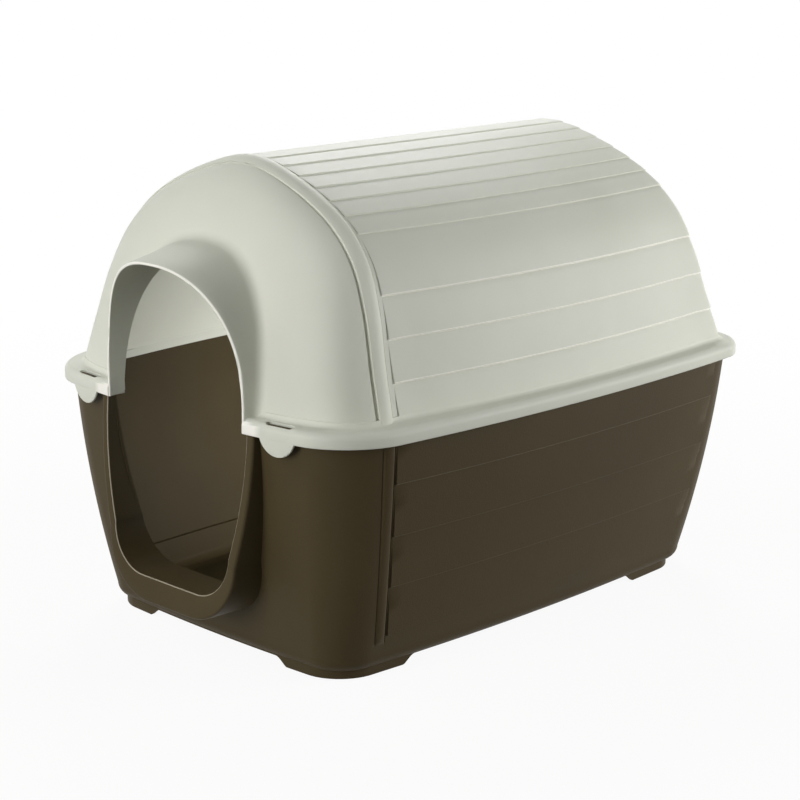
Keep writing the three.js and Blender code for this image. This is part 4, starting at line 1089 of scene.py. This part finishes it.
def vertex_places(mesh):
    points = np.empty(3 * len(mesh.vertices))
    mesh.vertices.foreach_get("co", points)
    return points.reshape(-1, 3) / MM


# stores the painted highlight of each vertex, from 0 to 1, as a mesh attribute
def mark_painted_highlight(mesh, values):
    painted_highlight = mesh.attributes.new("painted_highlight", "FLOAT", "POINT")
    painted_highlight.data.foreach_set("value", values)


def arch_tree(lengths):
    x, z = arch_point(lengths)
    tree = KDTree(len(lengths))
    for i, at in enumerate(zip(x, z)):
        tree.insert((at[0], at[1], 0), i)
    tree.balance()
    return tree


def roof_painted_highlights(roof):
    """Marks painted highlights on the hood's front edge and on the boards' lower edges, which show most down
    the sides.
    """
    lengths = ramp(0, ARCH_LENGTH / 2, 2400)
    tree = arch_tree(lengths)
    places = vertex_places(roof.data)
    values = np.zeros(len(places))
    for k, (x, y, z) in enumerate(places):
        if y < HOOD_FRONT + 1 and y < hood_front(x) + HOOD_HIGHLIGHT_DEPTH:
            values[k] = 1
        if z < LEDGE_TOP + COVE or not arch_front(z) + 1 < y < gable_rear(z) - 2:
            continue
        _, i, off = tree.find((abs(x) - abs(float(barrel_bow(x, y))), z, 0))
        if off > ROOF_WALL / 2:
            continue
        length = lengths[i]
        near = min(abs(length - edge + LAP_DEPTH / 2) for edge in BOARD_EDGES)
        least = LAST_SLAT_HIGHLIGHT if length > SLATS_END - 5 else 0
        side = np.clip((length - SLATS_END - SIDE_HIGHLIGHT_FADE) / SIDE_HIGHLIGHT_FADE, least, 1)
        values[k] = side * np.clip((LAP_DEPTH - near) / 0.3, 0, 1)
    mark_painted_highlight(roof.data, values)


def on_tub_boards(x, y, z):
    """Whether a point lies on the boarded part of the tub's outer side."""
    plan = tub_plan(z)
    front, rear = plan["front"], plan["rear"]
    along = (2 * y - front - rear) / (rear - front)
    outer_face = plan["half"] + plan["side_bow"] * (1 - along ** 2)
    boards_front = front + TUB_BEAD_OFFSET + TUB_BEAD_WIDTH + TUB_BEAD_GAP
    return abs(x) > outer_face - TUB_WALL / 2 and boards_front < y < rear - TUB_BOARD_REAR


def tub_painted_highlights(tub):
    """Marks painted highlights on the collar's inner front edge and on the boards' lower edges."""
    top = SKIRT_BOTTOM - FIT_GAP
    inner = collar_door(top)
    places = vertex_places(tub.data)
    values = np.zeros(len(places))
    for k, (x, y, z) in enumerate(places):
        depth = y - COLLAR_FRONT + COLLAR_TILT * (top - z)
        if depth < COLLAR_HIGHLIGHT_DEPTH and z < SKIRT_BOTTOM:
            off = np.min(np.hypot(inner[:, 0] - x, inner[:, 1] - z))
            values[k] = 1 if off < COLLAR_HIGHLIGHT_WIDTH else 0
        # painted highlight along the lower edges of the upper boards, strongest on the top one
        board, above = divmod(z - TUB_BOARD_FOOT, TUB_BOARD_PITCH)
        if board >= 1 and TUB_HIGHLIGHT_RANGE[0] < above < TUB_HIGHLIGHT_RANGE[1] and on_tub_boards(x, y, z):
            values[k] = TUB_TOP_BOARD_HIGHLIGHT if board == TUB_BOARD_COUNT - 1 else TUB_BOARD_HIGHLIGHT
    mark_painted_highlight(tub.data, values)


# ---------- materials ----------

ROOF_COLOURS = (0xd9dbcd, 0xdfe1d4)
# near-white painted on the marked roof edges as a highlight
ROOF_HIGHLIGHT = 0xfffdf2
TUB_COLOURS = (0x443a26, 0x4a402a)
# light colour painted on the marked tub edges as a highlight
TUB_HIGHLIGHT = 0xa89f8c
RUBBER_COLOURS = (0x1d1b19, 0x262421)
PLASTIC_IOR = 1.49


def srgb(code):
    parts = [((code >> shift) & 255) / 255 for shift in (16, 8, 0)]
    return tuple(p / 12.92 if p <= 0.04045 else ((p + 0.055) / 1.055) ** 2.4 for p in parts) + (1.0,)


class Nodes:
    """A small helper to lay out a node material."""

    def __init__(self, name):
        self.material = bpy.data.materials.new(name)
        self.material.use_nodes = True
        self.tree = self.material.node_tree
        self.shader = self.tree.nodes["Principled BSDF"]
        self.coords = self.tree.nodes.new("ShaderNodeTexCoord").outputs["Object"]

    def feed(self, socket, value):
        if isinstance(value, bpy.types.NodeSocket):
            self.tree.links.new(value, socket)
        else:
            socket.default_value = value

    def node(self, kind, inputs=None, **settings):
        made = self.tree.nodes.new("ShaderNode" + kind)
        for key, value in settings.items():
            setattr(made, key, value)
        for key, value in (inputs or {}).items():
            self.feed(made.inputs[key], value)
        return made

    def noise(self, scale, detail=2.0, rough=0.5):
        return self.node("TexNoise", {"Vector": self.coords, "Scale": scale, "Detail": detail,
                                      "Roughness": rough}).outputs["Fac"]

    def remap(self, value, low, high, out_low, out_high):
        return self.node("MapRange", {"Value": value, "From Min": low, "From Max": high, "To Min": out_low,
                                      "To Max": out_high}).outputs["Result"]

    def blend(self, factor, a, b):
        made = self.node("Mix", data_type="RGBA")  # its colour sockets are 6 and 7
        for place, value in ((0, factor), (6, a), (7, b)):
            self.feed(made.inputs[place], value)
        return made.outputs[2]

    def bump(self, height, strength, distance, normal=None):
        inputs = {"Height": height, "Strength": strength, "Distance": distance}
        if normal:
            inputs["Normal"] = normal
        return self.node("Bump", inputs).outputs["Normal"]

    def put(self, **sockets):
        for key, value in sockets.items():
            self.feed(self.shader.inputs[key.replace("_", " ")], value)
        return self.material


def roof_plastic():
    n = Nodes("roof plastic")
    cloud = n.remap(n.noise(6.0, 3.0), 0.35, 0.65, 0, 1)
    colour = n.blend(cloud, *map(srgb, ROOF_COLOURS))
    fine = n.noise(1400.0, 2.0)
    swirl = n.noise(260.0, 2.0)
    painted_highlight = n.node("Attribute", attribute_name="painted_highlight").outputs["Fac"]
    # painted highlight: the marked edges are lightened towards near-white
    colour = n.blend(n.remap(painted_highlight, 0.1, 0.9, 0, 1), colour, srgb(ROOF_HIGHLIGHT))
    normal = n.bump(swirl, 0.10, 0.0006)
    normal = n.bump(fine, 0.22, 0.0002, normal)
    rough = n.remap(swirl, 0.3, 0.7, 0.48, 0.58)
    return n.put(Base_Color=colour, Roughness=rough, Normal=normal, IOR=PLASTIC_IOR,
                 Specular_IOR_Level=0.28, Subsurface_Weight=0.12,
                 Subsurface_Radius=(0.012, 0.012, 0.009), Subsurface_Scale=1.0)


def tub_plastic():
    n = Nodes("tub plastic")
    cloud = n.remap(n.noise(5.0, 3.0), 0.35, 0.65, 0, 1)
    colour = n.blend(cloud, *map(srgb, TUB_COLOURS))
    grain = n.node("TexVoronoi", {"Vector": n.coords, "Scale": 620.0})
    fine = n.noise(900.0, 3.0, 0.6)
    normal = n.bump(grain.outputs["Distance"], 0.20, 0.0004)
    normal = n.bump(fine, 0.25, 0.0003, normal)
    painted_highlight = n.node("Attribute", attribute_name="painted_highlight").outputs["Fac"]
    # painted highlight: the marked edges are lightened towards a pale brown
    colour = n.blend(painted_highlight, colour, srgb(TUB_HIGHLIGHT))
    rough = n.remap(fine, 0.3, 0.7, 0.46, 0.60)
    return n.put(Base_Color=colour, Roughness=rough, Normal=normal, IOR=PLASTIC_IOR,
                 Specular_IOR_Level=0.11)


def rubber():
    n = Nodes("rubber")
    fine = n.noise(1100.0, 3.0)
    cloud = n.remap(n.noise(60.0, 2.0), 0.3, 0.7, 0, 1)
    colour = n.blend(cloud, *map(srgb, RUBBER_COLOURS))
    return n.put(Base_Color=colour, Roughness=n.remap(fine, 0.3, 0.7, 0.75, 0.92),
                 Normal=n.bump(fine, 0.3, 0.0003), IOR=1.5)


# ---------- pieces ----------

MOULDING_ANGLE = 32
SMALL_ANGLE = 40
SMALL_ROUNDING = 0.5

roof_look = roof_plastic()
tub_look = tub_plastic()
rubber_look = rubber()


def dress(obj, material):
    obj.data.materials.clear()
    obj.data.materials.append(material)


roof = make_roof()
roof_painted_highlights(roof)
shade(roof, MOULDING_ANGLE)
dress(roof, roof_look)
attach(roof, "roof")
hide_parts("roof_shell")

tub = make_tub()
tub_painted_highlights(tub)
shade(tub, MOULDING_ANGLE)
dress(tub, tub_look)
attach(tub, "tub")
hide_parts("base_tub")

for name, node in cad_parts.items():
    if name in ("roof_shell", "base_tub"):
        continue
    dress(node, rubber_look if "pad" in name or "plug" in name else tub_look)
    round_edges(node, SMALL_ROUNDING, segments=2, angle=SMALL_ANGLE)
    shade(node, SMALL_ANGLE)

# ---------- floor, light and camera, in metres ----------

FLOOR_RADIUS = 6.0
FLOOR_DROP = 0.0001
# share of plain white that the camera sees on the floor, near the kennel; it is 1 from FLOOR_FAR on
FLOOR_WHITE = 0.93
FLOOR_NEAR = 0.5
FLOOR_FAR = 1.5
FLOOR_LIT = 0x8c8a86
FLOOR_SEEN = 0xf4f3f0
WORLD_LIGHT = 0.02
# azimuth and elevation in degrees, and power in watts
SOFTBOXES = [(0, 10, 32), (135, 10, 50), (0, 35, 9), (225, 35, 31), (315, 35, 10), (180, 62, 2)]
SOFTBOX_SIZE = 1.3
SOFTBOX_DISTANCE = 2.6
KENNEL_MIDDLE = Vector((0, 0, 0.25))
GLOW_PLACE = (0.16, 0.06, 0.12)
GLOW_TOWARDS = Vector((-1, 0, 0.12))
GLOW_SIZE = (0.3, 0.08)
GLOW_SPREAD = 110
GLOW_POWER = 0.7
CAMERA_PLACE = (1.4894, -1.4802, 0.7326)
CAMERA_TILT = 75.777
CAMERA_TURN = 45.028
FOCAL_LENGTH = 93.56


def stage_floor():
    outline = circle(FLOOR_RADIUS / MM, ROUND_SIDES)
    points = [(x, y, -FLOOR_DROP / MM) for x, y in outline]
    floor = solid(points, [tuple(range(ROUND_SIDES))], "floor")
    n = Nodes("floor")
    n.tree.nodes.remove(n.shader)
    away = n.node("VectorMath", {0: n.coords}, operation="LENGTH").outputs["Value"]
    share = n.remap(away, FLOOR_NEAR, FLOOR_FAR, FLOOR_WHITE, 1.0)
    shown = shown_rays(n.tree)
    seen = n.node("Math", {0: share, 1: shown}, operation="MULTIPLY").outputs[0]
    colour = n.blend(shown, srgb(FLOOR_LIT), srgb(FLOOR_SEEN))
    matt = n.node("BsdfDiffuse", {"Color": colour}).outputs[0]
    white = n.node("Emission", {"Color": (1, 1, 1, 1)}).outputs[0]
    mixed = n.node("MixShader", {0: seen, 1: matt, 2: white}).outputs[0]
    n.tree.links.new(mixed, n.tree.nodes["Material Output"].inputs["Surface"])
    floor.data.materials.append(n.material)


def shown_rays(tree):
    """1 for rays that show the background, and 0 for those that light the object."""
    paths = tree.nodes.new("ShaderNodeLightPath").outputs
    seen = paths["Is Camera Ray"]
    for name in ("Is Glossy Ray", "Is Transmission Ray"):
        most = tree.nodes.new("ShaderNodeMath")
        most.operation = "MAXIMUM"
        tree.links.new(seen, most.inputs[0])
        tree.links.new(paths[name], most.inputs[1])
        seen = most.outputs[0]
    return seen


def world_light():
    world = bpy.data.worlds.new("studio")
    bpy.context.scene.world = world
    world.use_nodes = True
    tree = world.node_tree
    back = tree.nodes["Background"]
    back.inputs["Color"].default_value = (1, 1, 1, 1)
    level = tree.nodes.new("ShaderNodeMapRange")
    level.inputs["To Min"].default_value = WORLD_LIGHT
    tree.links.new(shown_rays(tree), level.inputs["Value"])
    tree.links.new(level.outputs["Result"], back.inputs["Strength"])


def area_lamp(name, shape, size, power, place, towards):
    lamp = bpy.data.lights.new(name, "AREA")
    lamp.shape = shape
    lamp.size = size
    lamp.energy = power
    obj = bpy.data.objects.new(name, lamp)
    obj.location = place
    obj.rotation_euler = towards.to_track_quat("-Z", "Y").to_euler()
    obj.visible_camera = False
    bpy.context.scene.collection.objects.link(obj)
    return lamp


def softbox(azimuth, elevation, power):
    """A round lamp that faces the kennel. Azimuth 0 is before the door, 90 at its right side."""
    a, e = math.radians(azimuth), math.radians(elevation)
    away = Vector((math.cos(e) * math.sin(a), -math.cos(e) * math.cos(a), math.sin(e)))
    area_lamp(f"softbox_{azimuth}_{elevation}", "DISK", SOFTBOX_SIZE, power,
              KENNEL_MIDDLE + SOFTBOX_DISTANCE * away, -away)


def inner_glow():
    """A soft light inside the cabin that faces its left wall, as if from the door."""
    lamp = area_lamp("inner", "RECTANGLE", GLOW_SIZE[0], GLOW_POWER, GLOW_PLACE, GLOW_TOWARDS)
    lamp.size_y = GLOW_SIZE[1]
    lamp.spread = math.radians(GLOW_SPREAD)


stage_floor()
world_light()
for azimuth, elevation, power in SOFTBOXES:
    softbox(azimuth, elevation, power)
inner_glow()

lens = bpy.data.cameras.new("camera")
lens.lens = FOCAL_LENGTH
camera = bpy.data.objects.new("camera", lens)
camera.location = CAMERA_PLACE
camera.rotation_euler = (math.radians(CAMERA_TILT), 0, math.radians(CAMERA_TURN))
bpy.context.scene.collection.objects.link(camera)
bpy.context.scene.camera = camera
bpy.context.scene.view_settings.view_transform = "Standard"
